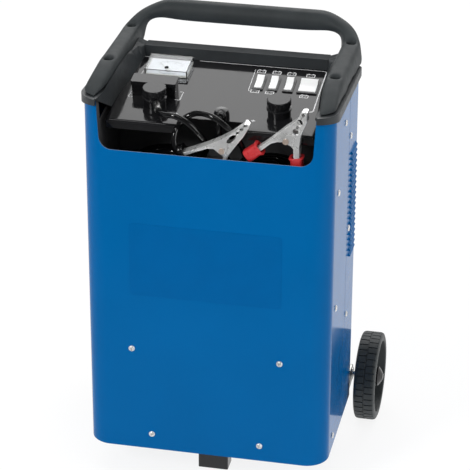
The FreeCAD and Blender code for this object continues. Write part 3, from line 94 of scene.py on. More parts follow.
class Look:
    """A material that is built from nodes around one principled shader."""

    def __init__(self, name, colour, roughness, **settings):
        self.material = bpy.data.materials.new(name)
        self.material.use_nodes = True
        self.tree = self.material.node_tree
        self.shader = self.tree.nodes["Principled BSDF"]
        self.colour, self.roughness = colour, roughness
        self.shader.inputs["Base Color"].default_value = (*colour, 1)
        self.shader.inputs["Roughness"].default_value = roughness
        for key, value in settings.items():
            self.shader.inputs[key.replace("_", " ")].default_value = value
        self.place = self.add("TexCoord").outputs["Object"]

    def add(self, kind, links=(), **settings):
        """A new node with its settings, and its inputs set to values or linked to outputs."""
        node = self.tree.nodes.new("ShaderNode" + kind)
        for key, value in settings.items():
            setattr(node, key, value)
        for key, value in dict(links).items():
            if isinstance(value, bpy.types.NodeSocket):
                self.tree.links.new(value, node.inputs[key])
            else:
                node.inputs[key].default_value = value
        return node

    def math(self, operation, *values):
        """The result of a sum, product or comparison of values."""
        return self.add("Math", dict(enumerate(values)), operation=operation).outputs[0]

    def noise(self, size, detail, stretch):
        """Noise whose lumps are about size metres, drawn out along an axis where asked."""
        scaled = self.add("Mapping", {"Vector": self.place, "Scale": [1 / s for s in stretch]})
        made = self.add("TexNoise", {"Vector": scaled.outputs["Vector"], "Scale": 1 / size, "Detail": detail})
        return made.outputs["Fac"]

    def spread(self, value, low, high, bottom=0.3, top=0.7):
        """A value from a texture, stretched to run from low to high."""
        links = {"Value": value, "From Min": bottom, "From Max": top, "To Min": low, "To Max": high}
        return self.add("MapRange", links).outputs["Result"]

    def mixed(self, share, first, second):
        """Two colours mixed by a share; each is a colour or another mix."""
        mix = self.add("Mix", {"Factor": share}, data_type="RGBA")
        for socket, value in ((mix.inputs[6], first), (mix.inputs[7], second)):
            if isinstance(value, bpy.types.NodeSocket):
                self.tree.links.new(value, socket)
            else:
                socket.default_value = (*value, 1)
        return mix.outputs[2]

    def set(self, name, value):
        """Links a value to one of the shader's own inputs."""
        self.tree.links.new(value, self.shader.inputs[name])
        return self

    def varied(self, size, tone, rough, stretch=(1, 1, 1)):
        """Colour and roughness that drift a little over the surface."""
        share = self.spread(self.noise(size, 4, stretch), 0, 1)
        dark = [c * (1 - tone) for c in self.colour]
        light = [min(c * (1 + tone), 1) for c in self.colour]
        self.set("Base Color", self.mixed(share, dark, light))
        drift = self.spread(self.noise(size / 3, 4, stretch), self.roughness - rough, self.roughness + rough)
        return self.set("Roughness", drift)

    def grained(self, size, depth, edge, stretch=(1, 1, 1)):
        """A fine relief, with the solid's sharp edges softened by a small radius where one is given."""
        links = {"Height": self.noise(size, 2, stretch), "Distance": depth, "Strength": 1}
        if edge:
            links["Normal"] = self.add("Bevel", {"Radius": edge}, samples=4).outputs["Normal"]
        return self.set("Normal", self.add("Bump", links).outputs["Normal"])


def moulded(name, colour, roughness=0.42, size=0.0007, depth=0.00003, tone=0.12, edge=0.0005, **settings):
    """Injection-moulded plastic with a fine spark-eroded grain."""
    look = Look(name, colour, roughness, **settings)
    return look.varied(0.03, tone, min(0.05, roughness / 2)).grained(size, depth, edge).material


def plated(name, colour, roughness=0.3, stretch=(1, 1, 8)):
    """Plated or rolled metal with fine drawn marks."""
    look = Look(name, colour, roughness, Metallic=1)
    return look.varied(0.004, 0.15, 0.1, stretch).grained(0.0006, 0.00002, 0.0003, stretch).material


# How far behind the front face the sheet's cut edges reach, and how far they are paled towards grey: a
# painted highlight for the light line the edges catch
CUT_DEPTH = 1.3
CUT_EDGE_HIGHLIGHT = 0.5


def blue_paint():
    """Smooth powder paint with a faint orange peel, paled where the sheet was cut for the console as a
    painted highlight of the light line its cut edges catch.
    """
    look = Look("blue_powder_paint", (0.0002, 0.114, 0.338), 0.12, IOR=1.13)
    look.varied(0.12, 0.035, 0.03).grained(0.0022, 0.00001, 0.0008)
    place = look.add("SeparateXYZ", {0: look.place}).outputs["Y"]
    facing = look.add("SeparateXYZ", {0: look.add("TexCoord").outputs["Normal"]}).outputs["Y"]
    # Painted highlight: the sheet's cut edges near the front face are mixed towards pale grey
    cut = look.math("MULTIPLY", look.math("LESS_THAN", place, at(0, CUT_DEPTH, 0).y),
                    look.math("LESS_THAN", look.math("ABSOLUTE", facing), 0.5))
    painted = look.shader.inputs["Base Color"].links[0].from_socket
    edge_highlighted = look.mixed(look.math("MULTIPLY", cut, CUT_EDGE_HIGHLIGHT), painted, (0.45, 0.5, 0.55))
    return look.set("Base Color", edge_highlighted).material


def laminated():
    """The core's stacked sheets, as fine bands along the depth."""
    look = Look("laminated_iron", (0.16, 0.165, 0.17), 0.45, Metallic=0.7)
    bands = look.add("TexWave", {"Vector": look.place, "Scale": 320, "Distortion": 0.6}, bands_direction="Y")
    look.set("Base Color", look.mixed(bands.outputs["Fac"], (0.1, 0.1, 0.105), (0.2, 0.205, 0.21)))
    links = {"Height": bands.outputs["Fac"], "Distance": 0.0001}
    return look.set("Normal", look.add("Bump", links).outputs["Normal"]).material


def wound():
    """Varnished copper wire in close turns."""
    look = Look("varnished_winding", (0.42, 0.19, 0.06), 0.35, Coat_Weight=0.5)
    turns = look.add("TexWave", {"Vector": look.place, "Scale": 160, "Distortion": 0.3}, bands_direction="Z")
    look.set("Base Color", look.mixed(turns.outputs["Fac"], (0.2, 0.075, 0.02), (0.5, 0.24, 0.08)))
    links = {"Height": turns.outputs["Fac"], "Distance": 0.0004}
    return look.set("Normal", look.add("Bump", links).outputs["Normal"]).material


def clear():
    """Clear plastic; light on its way to and from what lies under it passes straight through."""
    look = Look("clear_cover", (0.93, 0.95, 0.96), 0.04, Transmission_Weight=1.0, IOR=1.45)
    look.grained(0.02, 0.00001, 0.0006)
    rays = look.add("LightPath").outputs
    passing = look.math("MAXIMUM", rays["Is Shadow Ray"], rays["Is Diffuse Ray"])
    through = look.add("BsdfTransparent")
    mix = look.add("MixShader", {0: passing, 1: look.shader.outputs[0], 2: through.outputs[0]})
    look.tree.links.new(mix.outputs[0], look.tree.nodes["Material Output"].inputs["Surface"])
    return look.material


LOOKS = {
    "blue_steel": blue_paint(),
    "dark_plastic": moulded("charcoal_plastic", (0.036, 0.041, 0.043), 0.52, edge=0.0015, IOR=1.24),
    "panel_grey": moulded("gloss_panel", (0.010, 0.010, 0.011), 0.09, 0.004, 0.000004, 0.05),
    "black_plastic": moulded("black_plastic", (0.008, 0.008, 0.009), 0.2, 0.001, 0.00001),
    "white_plastic": moulded("white_rocker", (0.97, 0.97, 0.96), 0.2, tone=0.01),
    "red_plastic": moulded("red_needle", (0.6, 0.02, 0.02), 0.3),
    "clear_cover": clear(),
    "dial_face": moulded("dial_card", (0.72, 0.74, 0.77), 0.6, tone=0.03),
    "zinc_steel": plated("zinc_steel", (0.62, 0.62, 0.6)),
    "brass": plated("brass", (0.6, 0.42, 0.18)),
    "tyre_plastic": moulded("tyre_plastic", (0.019, 0.025, 0.027), 0.5, 0.0009, 0.00005),
    "black_rubber": moulded("black_sheath", (0.004, 0.004, 0.0045), 0.09, 0.0012, 0.000003),
    "red_rubber": moulded("red_sleeve", (0.52, 0.028, 0.032), 0.3, 0.001, 0.00002, 0.08),
    "laminated_iron": laminated(),
    "winding": wound(),
    "aluminium": plated("aluminium", (0.72, 0.73, 0.74), 0.38, (1, 8, 1)),
}
GLOSS_BLACK = moulded("gloss_black", (0.010, 0.010, 0.011), 0.13, 0.003, 0.000005, 0.05)
CLAMP_STEEL = moulded("clamp_steel", (0.78, 0.78, 0.77), 0.3, 0.0012, 0.00002, 0.16, Metallic=0.6, IOR=1.7)
LABEL_FILM = moulded("label_film", (0.0002, 0.104, 0.318), 0.16, 0.002, 0.000004, 0.03, IOR=1.12)
CONSOLE = moulded("console_plastic", (0.032, 0.036, 0.039), 0.44, 0.0007, 0.000008, edge=0.0015, IOR=1.36)
TRAY = moulded("tray_plastic", (0.06, 0.06, 0.063), 0.5)
WARM_RIVET = moulded("rivet_steel", (0.62, 0.5, 0.42), 0.35, Metallic=0.6)
TINNED = plated("tinned_copper", (0.5, 0.5, 0.49), 0.28, (1, 1, 1))
CREAM = moulded("cream_case", (0.74, 0.73, 0.68), 0.4, tone=0.03)
PRINT = moulded("white_print", (0.86, 0.86, 0.86), 0.4, 0.0005, 0.000005, 0.03, 0)
INK = moulded("dark_ink", (0.03, 0.03, 0.035), 0.5, 0.0005, 0.000005, 0.05, 0)
OWN_LOOKS = {
    "fuse_cover": GLOSS_BLACK, "rocker_bezels": GLOSS_BLACK, "fuse_base": LOOKS["black_plastic"],
    "red_lead_lug": TINNED, "foot": LOOKS["black_plastic"], "meter_case": CREAM, "lead_tray": TRAY,
    "clamp_rivets": WARM_RIVET, "meter_needle": TINNED,
}
SLOT_OF = {part["node"]: part["material_slot"] for part in frame["record"]["subparts"]}


def smooth(mesh, angle):
    """Smooth shading, apart from edges that turn by more than the angle."""
    mesh.shade_smooth()
    mesh.set_sharp_from_angle(angle=math.radians(angle))


def dress_frame():
    """Each carried-over node gets its slot's material, and smooth shading between its sharp edges."""
    for name, node in nodes.items():
        node.data.materials.clear()
        node.data.materials.append(OWN_LOOKS.get(name, LOOKS[SLOT_OF[name]]))
        smooth(node.data, 28)


dress_frame()


def finish_piece(piece, slot, body="cabinet", replaced=(), look=None):
    """A new piece gets its slot's material or its own look, rides on a body and may stand for CAD nodes."""
    if not piece.data.materials:
        piece.data.materials.append(look or LOOKS[slot])
    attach(piece, body)
    if replaced:
        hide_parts(*replaced)
    return piece


def mesh_piece(name, form, smooth_angle=30):
    """A bmesh form turned into an object, smooth between its sharp edges."""
    bmesh.ops.recalc_face_normals(form, faces=form.faces)
    mesh = bpy.data.meshes.new(name)
    form.to_mesh(mesh)
    form.free()
    smooth(mesh, smooth_angle)
    piece = bpy.data.objects.new(name, mesh)
    bpy.context.scene.collection.objects.link(piece)
    return piece


def skin(form, rings):
    """Faces between closed rings of as many vertices each, from one ring to the next."""
    for one, two in zip(rings, rings[1:]):
        for j in range(len(one)):
            form.faces.new((one[j], one[j - 1], two[j - 1], two[j]))


def fade(value, width, least=0):
    """A share that rises to 1 as a value goes from 0 to the width, and is never under the least."""
    return min(max(value / width, least), 1)


def islands(node):
    """The boxes of a node's separate solids, as pairs of corners, in order of place."""
    form = bmesh.new()
    form.from_mesh(node.data)
    bmesh.ops.remove_doubles(form, verts=form.verts, dist=SAME_PLACE)
    left, boxes = set(form.verts), []
    while left:
        stack, group = [left.pop()], []
        while stack:
            vertex = stack.pop()
            group.append(vertex.co.copy())
            for edge in vertex.link_edges:
                other = edge.other_vert(vertex)
                if other in left:
                    left.remove(other)
                    stack.append(other)
        boxes.append([Vector(pick(c[i] for c in group) for i in range(3)) for pick in (min, max)])
    form.free()
    return sorted(boxes, key=lambda box: [round(c, 4) for c in box[0]])


# Leads

LEAD = 0.008
BLACK_LEAD = [
    (11, 41.8, 496.9), (11, 36.4, 496.1), (11.6, 31.6, 489.5), (12.5, 31.5, 478), (14.5, 33.6, 461),
    (18, 40, 444.5), (22, 50, 430), (25.5, 61, 420), (27.8, 72, 415.4),
]
BLACK_LEAD_END = [
    (72, 32.2, 407.6), (64, 31, 410.5), (56.5, 29.4, 421), (51.5, 28.4, 437), (48, 28.4, 454),
    (42, 28.6, 469), (32, 27.6, 481.5), (20, 25.8, 494.5), (6, 27, 503.5), (-8, 33, 505), (-21, 38.5, 502),
    (-32, 39, 496.5), (-40, 33.5, 490), (-44.2, 19.5, 481.5), (-45.3, 16.2, 475), (-44.6, 14.4, 466.5),
    (-42.2, 13.8, 459.5), (-37.5, 13.8, 455),
]
RED_LEAD = [
    (-72, 41, 499.3), (-67.5, 31.5, 499.8), (-58, 25, 501), (-46.5, 21, 503.5), (-34, 21, 498.4),
    (-23.5, 22.5, 490), (-14, 25.3, 478.4), (-6, 28.2, 467), (-4.5, 34, 454), (-11, 43, 439),
    (-18, 54, 425), (-25.5, 67, 416.4),
]
RED_LEAD_END = [
    (-74, 32.2, 406.9), (-62, 29.6, 406.9), (-42, 29.2, 406.9), (-20, 29.6, 407), (2, 29.9, 407),
    (22, 29.7, 407), (37, 26, 407), (52, 16, 407.2), (74, 13.4, 407.2), (98, 13.6, 407.4),
    (119, 13.8, 409.2), (128, 13.8, 417.6), (124.6, 13.8, 427.5),
]


def spline(name, points, diameter=LEAD):
    """A round lead along the points, as one smooth spline."""
    curve = bpy.data.curves.new(name, "CURVE")
    curve.dimensions, curve.bevel_depth, curve.bevel_resolution = "3D", diameter / 2, 6
    curve.use_fill_caps, curve.resolution_u = True, 10
    line = curve.splines.new("NURBS")
    line.points.add(len(points) - 1)
    for target, point in zip(line.points, points):
        target.co = (*point, 1)
    line.order_u, line.use_endpoint_u = 3, True
    piece = bpy.data.objects.new(name, curve)
    bpy.context.scene.collection.objects.link(piece)
    return piece


def line_length(points):
    """The length of the spline's own line, read from the curve without its bevel."""
    piece = spline("measure", points, 0)
    mesh = bpy.data.meshes.new_from_object(piece)
    ends = [[mesh.vertices[index].co for index in edge.vertices] for edge in mesh.edges]
    length = sum((one - two).length for one, two in ends)
    curve = piece.data
    bpy.data.objects.remove(piece)
    bpy.data.curves.remove(curve)
    bpy.data.meshes.remove(mesh)
    return length


COIL_X, COIL_Y = 72, 76
POINTS_PER_TURN = 14
# A coil's two layers: first radius, first angle, turns, height, and how much the radius grows on the way
UPPER_LAYER = (43.5, 180, 2.3, 414.8, -18.5)
LOWER_LAYER = (25, 72, 2.41, 406.5, 18.5)


def coil_turns(side, first_radius, first_angle, turns, height, growth):
    """Points round one layer of a stored coil, clockwise on the right and mirrored on the left."""
    steps = turns * POINTS_PER_TURN
    points = []
    for i in range(round(steps) + 1):
        share = i / steps
        angle = math.radians(first_angle) - 2 * math.pi * turns * share
        radius = first_radius + growth * share
        out, back = radius * math.cos(angle), radius * math.sin(angle)
        points.append(at(side * (COIL_X + out), COIL_Y + back, height))
    return points


def make_lead(name, first, last, side, replaced, far_pieces):
    """One lead: out of the console, round its stored coil and up to its clamp."""
    coil = coil_turns(side, *UPPER_LAYER) + coil_turns(side, *LOWER_LAYER)[1:]
    points = [at(*p) for p in first] + coil + [at(*p) for p in last]
    piece = finish_piece(spline(name, points), "black_rubber", "cabinet", replaced)
    length = line_length(points)


# Clamps

# Each clamp's pivot, its lean to the right and the half that moves
CLAMPS = {"black": ((21.4, 13.8, 465), 41.6, "right"), "red": ((106.7, 13.8, 486.9), 22.5, "left")}
JAW_SHEET = 0.0012
FOLD_RADIUS = 0.0016
JAW_WIDTHS = {"fixed": 16.4, "moving": 13.5}
# Each half's outline, across and along the jaws from the pivot: its bent back, then its open side
OUTLINES = {
    ("red", "left"): (
        [(6, 49.6), (2.8, 47), (1.6, 40), (1.2, 33), (-2.5, 26), (-7.9, 16.4), (-13, 5.2), (-18.3, -6.3),
         (-23, -15.5), (-28.4, -25), (-34, -34), (-38.5, -42.5)],
        [(-33.5, -45), (-29, -37), (-24.6, -29), (-20.4, -20.5), (-16.5, -12.5), (-10, -6.6), (-3.8, -3.6),
         (2.8, -2), (6, 1), (6, 12)],
    ),
    ("red", "right"): (
        [(6, 49.6), (9.5, 49.5), (12.6, 41.5), (14.5, 38.4), (14.6, 21.8), (15.2, 14), (19.5, 0.1),
         (24.5, -11.5), (30, -22), (35.5, -33), (40, -42.5)],
        [(34.5, -45), (29, -34.5), (23, -23.5), (17.8, -15.1), (15.5, -10), (13.5, -5.1), (9, -3),
         (2, -2.4), (-3, -2), (-4.5, 3), (-2, 9), (3, 12.5)],
    ),
    ("black", "left"): (
        [(-2.5, 52.8), (-4.8, 51), (-5, 44), (-7.9, 26), (-12.9, 8.7), (-19.8, -9.2), (-25.4, -21.5),
         (-31, -33.5), (-35.5, -42)],
        [(-31, -44.5), (-28, -36.5), (-23.1, -26.1), (-19.3, -18.5), (-15.6, -11.4), (-9.8, -5.4),
         (-0.9, -4.9), (3, -4.6), (5, 0), (3, 8)],
    ),
    ("black", "right"): (
        [(-2.5, 52.8), (1.6, 52.8), (3.1, 51), (6.7, 35.1), (8.2, 20.8), (10.2, 5.7), (12, -3.6),
         (16.5, -12), (22.5, -22), (29, -33), (35, -43)],
        [(29.5, -46), (23.5, -35.5), (16, -22), (10.5, -12.5), (7.1, -5), (0, -4.9), (-6, -4.4),
         (-7, 1), (-5, 7)],
    ),
}
# Where the closed jaws meet, half the gap between them, and each bite's two ends and depth
JAW_GAP = 0.25
BITE_STEPS = 8
BITES = {
    "red": (6, [(14.6, 22.7, 3.9), (22.9, 28.7, 1.7), (28.9, 37, 4.0), (42.2, 46.8, 2.2)]),
    "black": (-2.5, [(13.5, 30.3, 3.4), (32.6, 36.8, 2.0), (40, 44.6, 2.3), (47.4, 51.6, 2.2)]),
}


def jaw_edge(colour, side):
    """The gripping edge of a jaw from pivot to tip: bites of several sizes with plain stretches between."""
    middle, bites = BITES[colour]
    edge = []
    for low, high, reach in bites:
        for i in range(BITE_STEPS + 1):
            turn = math.pi * i / BITE_STEPS
            x = middle + side * (JAW_GAP + reach * math.sin(turn))
            edge.append((x, (low + high) / 2 - (high - low) / 2 * math.cos(turn)))
    return edge


def clamp_place(colour):
    """Where a clamp's own plane lies: its pivot, and its jaws leaning to the right."""
    centre, lean, _ = CLAMPS[colour]
    return Matrix.Translation(at(*centre)) @ Matrix.Rotation(math.radians(lean), 4, "Y")


def pressed_half(colour, half, side, width):
    """One jaw and arm bent from a single sheet: two cheeks joined by a back with rounded folds."""
    form = bmesh.new()
    back, open_side = OUTLINES[colour, half]
    outline = back + open_side + jaw_edge(colour, side)
    rims = []
    for depth in (-width / 2, width / 2):
        rims.append([form.verts.new((x / 1000, depth / 1000, z / 1000)) for x, z in outline])
        edges = [form.edges.new((one, two)) for one, two in zip(rims[-1], rims[-1][1:] + rims[-1][:1])]
        bmesh.ops.triangle_fill(form, use_beauty=True, edges=edges)
    bends = range(len(back) - 1)
    for i in bends:
        form.faces.new((rims[0][i], rims[0][i + 1], rims[1][i + 1], rims[1][i]))
    folds = [form.edges.get((rim[i], rim[i + 1])) for rim in rims for i in bends]
    bmesh.ops.recalc_face_normals(form, faces=form.faces)
    bmesh.ops.bevel(form, geom=folds, offset=FOLD_RADIUS, segments=4, profile=0.5, affect="EDGES",
                    clamp_overlap=True)
    piece = mesh_piece(f"{colour}_{half}_jaw", form, 35)
    piece.data.transform(clamp_place(colour))
    thick = piece.modifiers.new("sheet", "SOLIDIFY")
    thick.thickness, thick.offset, thick.use_even_offset = JAW_SHEET, -1, True
    piece.modifiers.new("even_faces", "WEIGHTED_NORMAL").keep_sharp = True
    return piece


# An arm's middle, level with the pivot, and how far it goes across and down with each millimetre
ARM_START = 12.3
ARM_ACROSS, ARM_DOWN = 0.476, 0.879
SLEEVE_SIDES = 40
SLEEVE_WIDE, SLEEVE_DEEP = 9.4, 10
SLEEVE_SQUARED = 0.62
SLEEVE_STARTS = {("red", "left"): 30.5, ("red", "right"): 18.5, ("black", "left"): 45, ("black", "right"): 30}
SLEEVE_END = 53.5
SLEEVE_MOUTHS = {"red": 1.05, "black": 0.98}
HOLLOW_DEPTH, HOLLOW_TAPER = 9, 0.9


def on_arm(side, t, aside=0.0, depth=0.0):
    """A point t millimetres along an arm's middle, moved aside and in depth, in the clamp's own plane."""
    x = ARM_START + ARM_ACROSS * t + ARM_DOWN * aside
    return Vector((side * x, depth, -ARM_DOWN * t + ARM_ACROSS * aside)) / 1000


def bell_sleeve(colour, half, side):
    """An insulating sleeve on an arm: a rounded tube with a rolled mouth and a closed, softly squared end."""
    form = bmesh.new()
    start, mouth = SLEEVE_STARTS[colour, half], SLEEVE_MOUTHS[colour]
    length = SLEEVE_END - start
    stations = [
        (0, 0.62, 0.86), (-0.1, 0.8, 0.93), (0.4, mouth, 1), (1.6, mouth + 0.03, 1.01),
        (2.8, mouth - 0.05, 0.97), (5, 0.9, 0.93), (length * 0.5, 0.92, 0.93),
        (length - 2.5, 0.97, 0.95), (length - 0.8, 0.93, 0.92), (length, 0.7, 0.8),
    ]
    rings = []
    for t, wide, deep in stations:
        ring = []
        for j in range(SLEEVE_SIDES):
            angle = 2 * math.pi * j / SLEEVE_SIDES
            a, b = (math.copysign(abs(f(angle)) ** SLEEVE_SQUARED, f(angle)) for f in (math.cos, math.sin))
            place = on_arm(side, start + t, a * SLEEVE_WIDE * wide, b * SLEEVE_DEEP * deep)
            ring.append(form.verts.new(place))
        rings.append(ring)
    skin(form, rings)
    form.faces.new(rings[-1])
    rim_middle, hollow_middle = on_arm(side, start), on_arm(side, start + HOLLOW_DEPTH)
    hollow = [form.verts.new(hollow_middle + (v.co - rim_middle) * HOLLOW_TAPER) for v in rings[0]]
    skin(form, [rings[0], hollow])
    form.faces.new(hollow)
    piece = mesh_piece(f"{colour}_{half}_sleeve", form, 50)
    piece.data.transform(clamp_place(colour))
    return piece


def make_clamp(colour):
    """Both halves of a clamp with their sleeves; the moving half is on the clamp's own body."""
    moving = CLAMPS[colour][2]
    pieces = []
    for side, name in ((-1, "left"), (1, "right")):
        half = "moving" if name == moving else "fixed"
        body = f"{colour}_clamp_half" if half == "moving" else "cabinet"
        jaw = pressed_half(colour, name, side, JAW_WIDTHS[half])
        finish_piece(jaw, "zinc_steel", body, [f"{colour}_clamp_{half}_jaw"], CLAMP_STEEL)
        sleeve = bell_sleeve(colour, name, side)
        finish_piece(sleeve, f"{colour}_rubber", body, [f"{colour}_clamp_{half}_sleeve"])
        pieces += [jaw, sleeve]
    return pieces


make_lead("negative_lead", BLACK_LEAD, BLACK_LEAD_END, 1,
          ["black_lead", "black_lead_coil", "black_lead_end"], make_clamp("black"))
make_lead("positive_lead", RED_LEAD, RED_LEAD_END, -1,
          ["red_lead", "red_lead_coil", "red_lead_end"], make_clamp("red"))


# Handle and console frame

def remade(name, source, voxel):
    """A copy of a node's mesh built again of even small faces, so that it can be worked like clay."""
    piece = bpy.data.objects.new(name, nodes[source].data.copy())
    piece.data.materials.clear()
    bpy.context.scene.collection.objects.link(piece)
    piece.modifiers.new("even", "REMESH").voxel_size = voxel
    mesh = bpy.data.meshes.new_from_object(piece.evaluated_get(bpy.context.evaluated_depsgraph_get()))
    piece.modifiers.clear()
    piece.data = mesh
    mesh.name = name
    return piece


# The middle of the grip's inner corner, how far round it and above it the push goes, and the push itself
INNER_CORNER = (122, 255.6, 541.5)
CORNER_REACH = 0.016
CORNER_TOP, CORNER_FADE = 0.022, 0.014
CORNER_PUSH, CORNER_LIFT = 0.013, 0.3


def open_corners(piece):
    """The grip's inner corners pushed outwards into a tighter curve, as the photograph has them."""
    centre = at(*INNER_CORNER)
    for vertex in piece.data.vertices:
        side = math.copysign(1, vertex.co.x)
        away = vertex.co - Vector((side * centre.x, centre.y, centre.z))
        share = math.exp(-away.length_squared / (2 * CORNER_REACH ** 2))
        share *= fade(CORNER_TOP - away.z, CORNER_FADE)
        vertex.co += Vector((side, 0, CORNER_LIFT)) * share * CORNER_PUSH


HANDLE_GRAIN = 0.0016
# The smoothing grows outwards from the recesses' edges and upwards from the arms' top, with a little below
RECESS_RADIUS, RECESS_FADE = 0.012, 0.016
ARM_TOP, ARM_FADE, ARM_LEAST = 0.535, 0.04, 0.05
SOFT_ROUNDS, EVEN_ROUNDS = 90, 2


def rounded_handle():
    """The grip bar with the soft edges and the full curves of a blown moulding."""
    piece = remade("handle_moulding", "handle", HANDLE_GRAIN)
    open_corners(piece)
    recesses = [(Vector(low) + Vector(high)) / 2 for low, high in islands(nodes["handle_screws"])]
    kept = piece.vertex_groups.new(name="away_from_recesses")
    for vertex in piece.data.vertices:
        gap = min((vertex.co - centre).length for centre in recesses)
        along = fade(vertex.co.z - ARM_TOP, ARM_FADE, ARM_LEAST)
        kept.add([vertex.index], fade(gap - RECESS_RADIUS, RECESS_FADE) * along, "REPLACE")
    for group, rounds in ((kept.name, SOFT_ROUNDS), ("", EVEN_ROUNDS)):
        soft = piece.modifiers.new("soft", "SMOOTH")
        soft.factor, soft.iterations, soft.vertex_group = 0.5, rounds, group
    piece.data.shade_smooth()
    return finish_piece(piece, "dark_plastic", "cabinet", ["handle"])


# The rail's top and where it starts in depth, and how far out the wall ends beside it are thin and thick
RAIL_TOP, RAIL_START = 528.6, 160
WALL_THIN, WALL_THICK = 0.15, 0.128


def console_with_fillets():
    """The console frame, with the thick wall ends beside the rail brought down in a hollow curve."""
    form = bmesh.new()
    form.from_mesh(nodes["console_frame"].data)
    start = at(0, RAIL_START, RAIL_TOP)
    for vertex in form.verts:
        inward = fade(WALL_THIN - abs(vertex.co.x), WALL_THIN - WALL_THICK)
        if vertex.co.z > start.z and vertex.co.y > start.y:
            vertex.co.z = start.z + (vertex.co.z - start.z) * (1 - inward) ** 2
    piece = mesh_piece("console_moulding", form, 28)
    return finish_piece(piece, "dark_plastic", "cabinet", ["console_frame"], CONSOLE)


rounded_handle()
console_with_fillets()


# Control panel with its rolled lip

# The lip's underside corner, the height under which it is drawn down, and by how much
UNDER_Y, UNDER_Z = 25.71, 486.44
DROP_BELOW = 481
LIP_DROP = 0.004
ROLL = 0.0045
SHEET = 0.0015
# Only edges longer than this run along the lip
ALONG_LIP = 0.02


def near(value, target):
    """Whether two places along one axis are the same to 0.2 mm."""
    return abs(value - target) < 0.0002


def rolled_panel():
    """The panel with its front edge rolled over instead of sharp, and its lip drawn a little further down."""
    form = bmesh.new()
    form.from_mesh(nodes["control_panel"].data)
    bmesh.ops.remove_doubles(form, verts=form.verts, dist=SAME_PLACE)
    bmesh.ops.dissolve_limit(form, angle_limit=math.radians(1), verts=form.verts[:], edges=form.edges[:])
    for vertex in form.verts:
        if vertex.co.z < at(0, 0, DROP_BELOW).z:
            vertex.co.z -= LIP_DROP
    for corner, radius in ((at(0, LIP_Y, LIP_Z), ROLL), (at(0, UNDER_Y, UNDER_Z), ROLL - SHEET)):
        edges = [edge for edge in form.edges if abs(edge.verts[0].co.x - edge.verts[1].co.x) > ALONG_LIP
                 and all(near(v.co.y, corner.y) and near(v.co.z, corner.z) for v in edge.verts)]
        bmesh.ops.bevel(form, geom=edges, offset=radius, segments=7, profile=0.5, affect="EDGES",
                        offset_type="OFFSET")
    return finish_piece(mesh_piece("rolled_panel", form), "panel_grey", "cabinet", ["control_panel"])


rolled_panel()


# Marks printed on the panel

def ribbon(form, points, width, place, closed=False):
    """A flat line of even width through flat points, each put in space by a function."""
    points = [Vector(point) for point in points]
    count = len(points)
    sides = []
    for i, point in enumerate(points):
        before = points[i - 1] if i or closed else point
        after = points[(i + 1) % count] if i < count - 1 or closed else point
        along_in, along_out = point - before, after - point
        along_in = along_in.normalized() if along_in.length else along_out.normalized()
        along_out = along_out.normalized() if along_out.length else along_in
        middle = (along_in + along_out).normalized()
        normal = Vector((-middle.y, middle.x))
        reach = width / 2 / max(normal.dot(Vector((-along_out.y, along_out.x))), 0.4)
        sides.append([form.verts.new(place(*(point + normal * reach * way))) for way in (1, -1)])
    for i in range(count if closed else count - 1):
        one, two = sides[i], sides[(i + 1) % count]
        form.faces.new((one[0], one[1], two[1], two[0]))


ARC_STEPS = 5


def rounded(points, radius):
    """Flat points with each inner corner turned into a short arc."""
    out = [Vector(points[0])]
    for before, corner, after in zip(points, points[1:], points[2:]):
        before, corner, after = Vector(before), Vector(corner), Vector(after)
        start = corner + (before - corner).normalized() * radius
        end = corner + (after - corner).normalized() * radius
        for i in range(ARC_STEPS + 1):
            share = i / ARC_STEPS
            out.append(start * (1 - share) ** 2 + corner * 2 * share * (1 - share) + end * share ** 2)
    return out + [Vector(points[-1])]


PRINT_RISE = 0.08
MARK_WIDE, MARK_DEEP = 11, 6.5
POST_X, POST_HALF = 3, 1.3
BATTERY_MARKS = [
    (39.9, 156.5), (61.4, 156.5), (82.1, 156), (108.4, 155.5), (41.1, 103.6), (61.5, 103), (108.9, 100.4),
]


def printed(x, v):
    """A point on the panel's face, the thickness of a print above it."""
    return on_panel(x, v, PRINT_RISE)


def battery_mark(form, x, v):
    """A small battery outline with its two posts and a dash under each."""
    wide, deep = MARK_WIDE, MARK_DEEP
    box = [(x - wide / 2, v - deep / 2), (x + wide / 2, v - deep / 2), (x + wide / 2, v + deep / 2),
           (x - wide / 2, v + deep / 2)]
    ribbon(form, box, 1.0, printed, closed=True)
    for side in (-1, 1):
        post, top = x + side * POST_X, v + deep / 2 + 1
        ribbon(form, [(post - POST_HALF, top), (post + POST_HALF, top)], 1.6, printed)
    ribbon(form, [(x - 3.6, v), (x - 1.2, v)], 0.8, printed)
    ribbon(form, [(x + 1.2, v), (x + 3.6, v)], 0.8, printed)


def plus_mark(form, x, v, size):
    """A plus sign of two crossing strokes."""
    ribbon(form, [(x - size, v), (x + size, v)], 1.1, printed)
    ribbon(form, [(x, v - size), (x, v + size)], 1.1, printed)


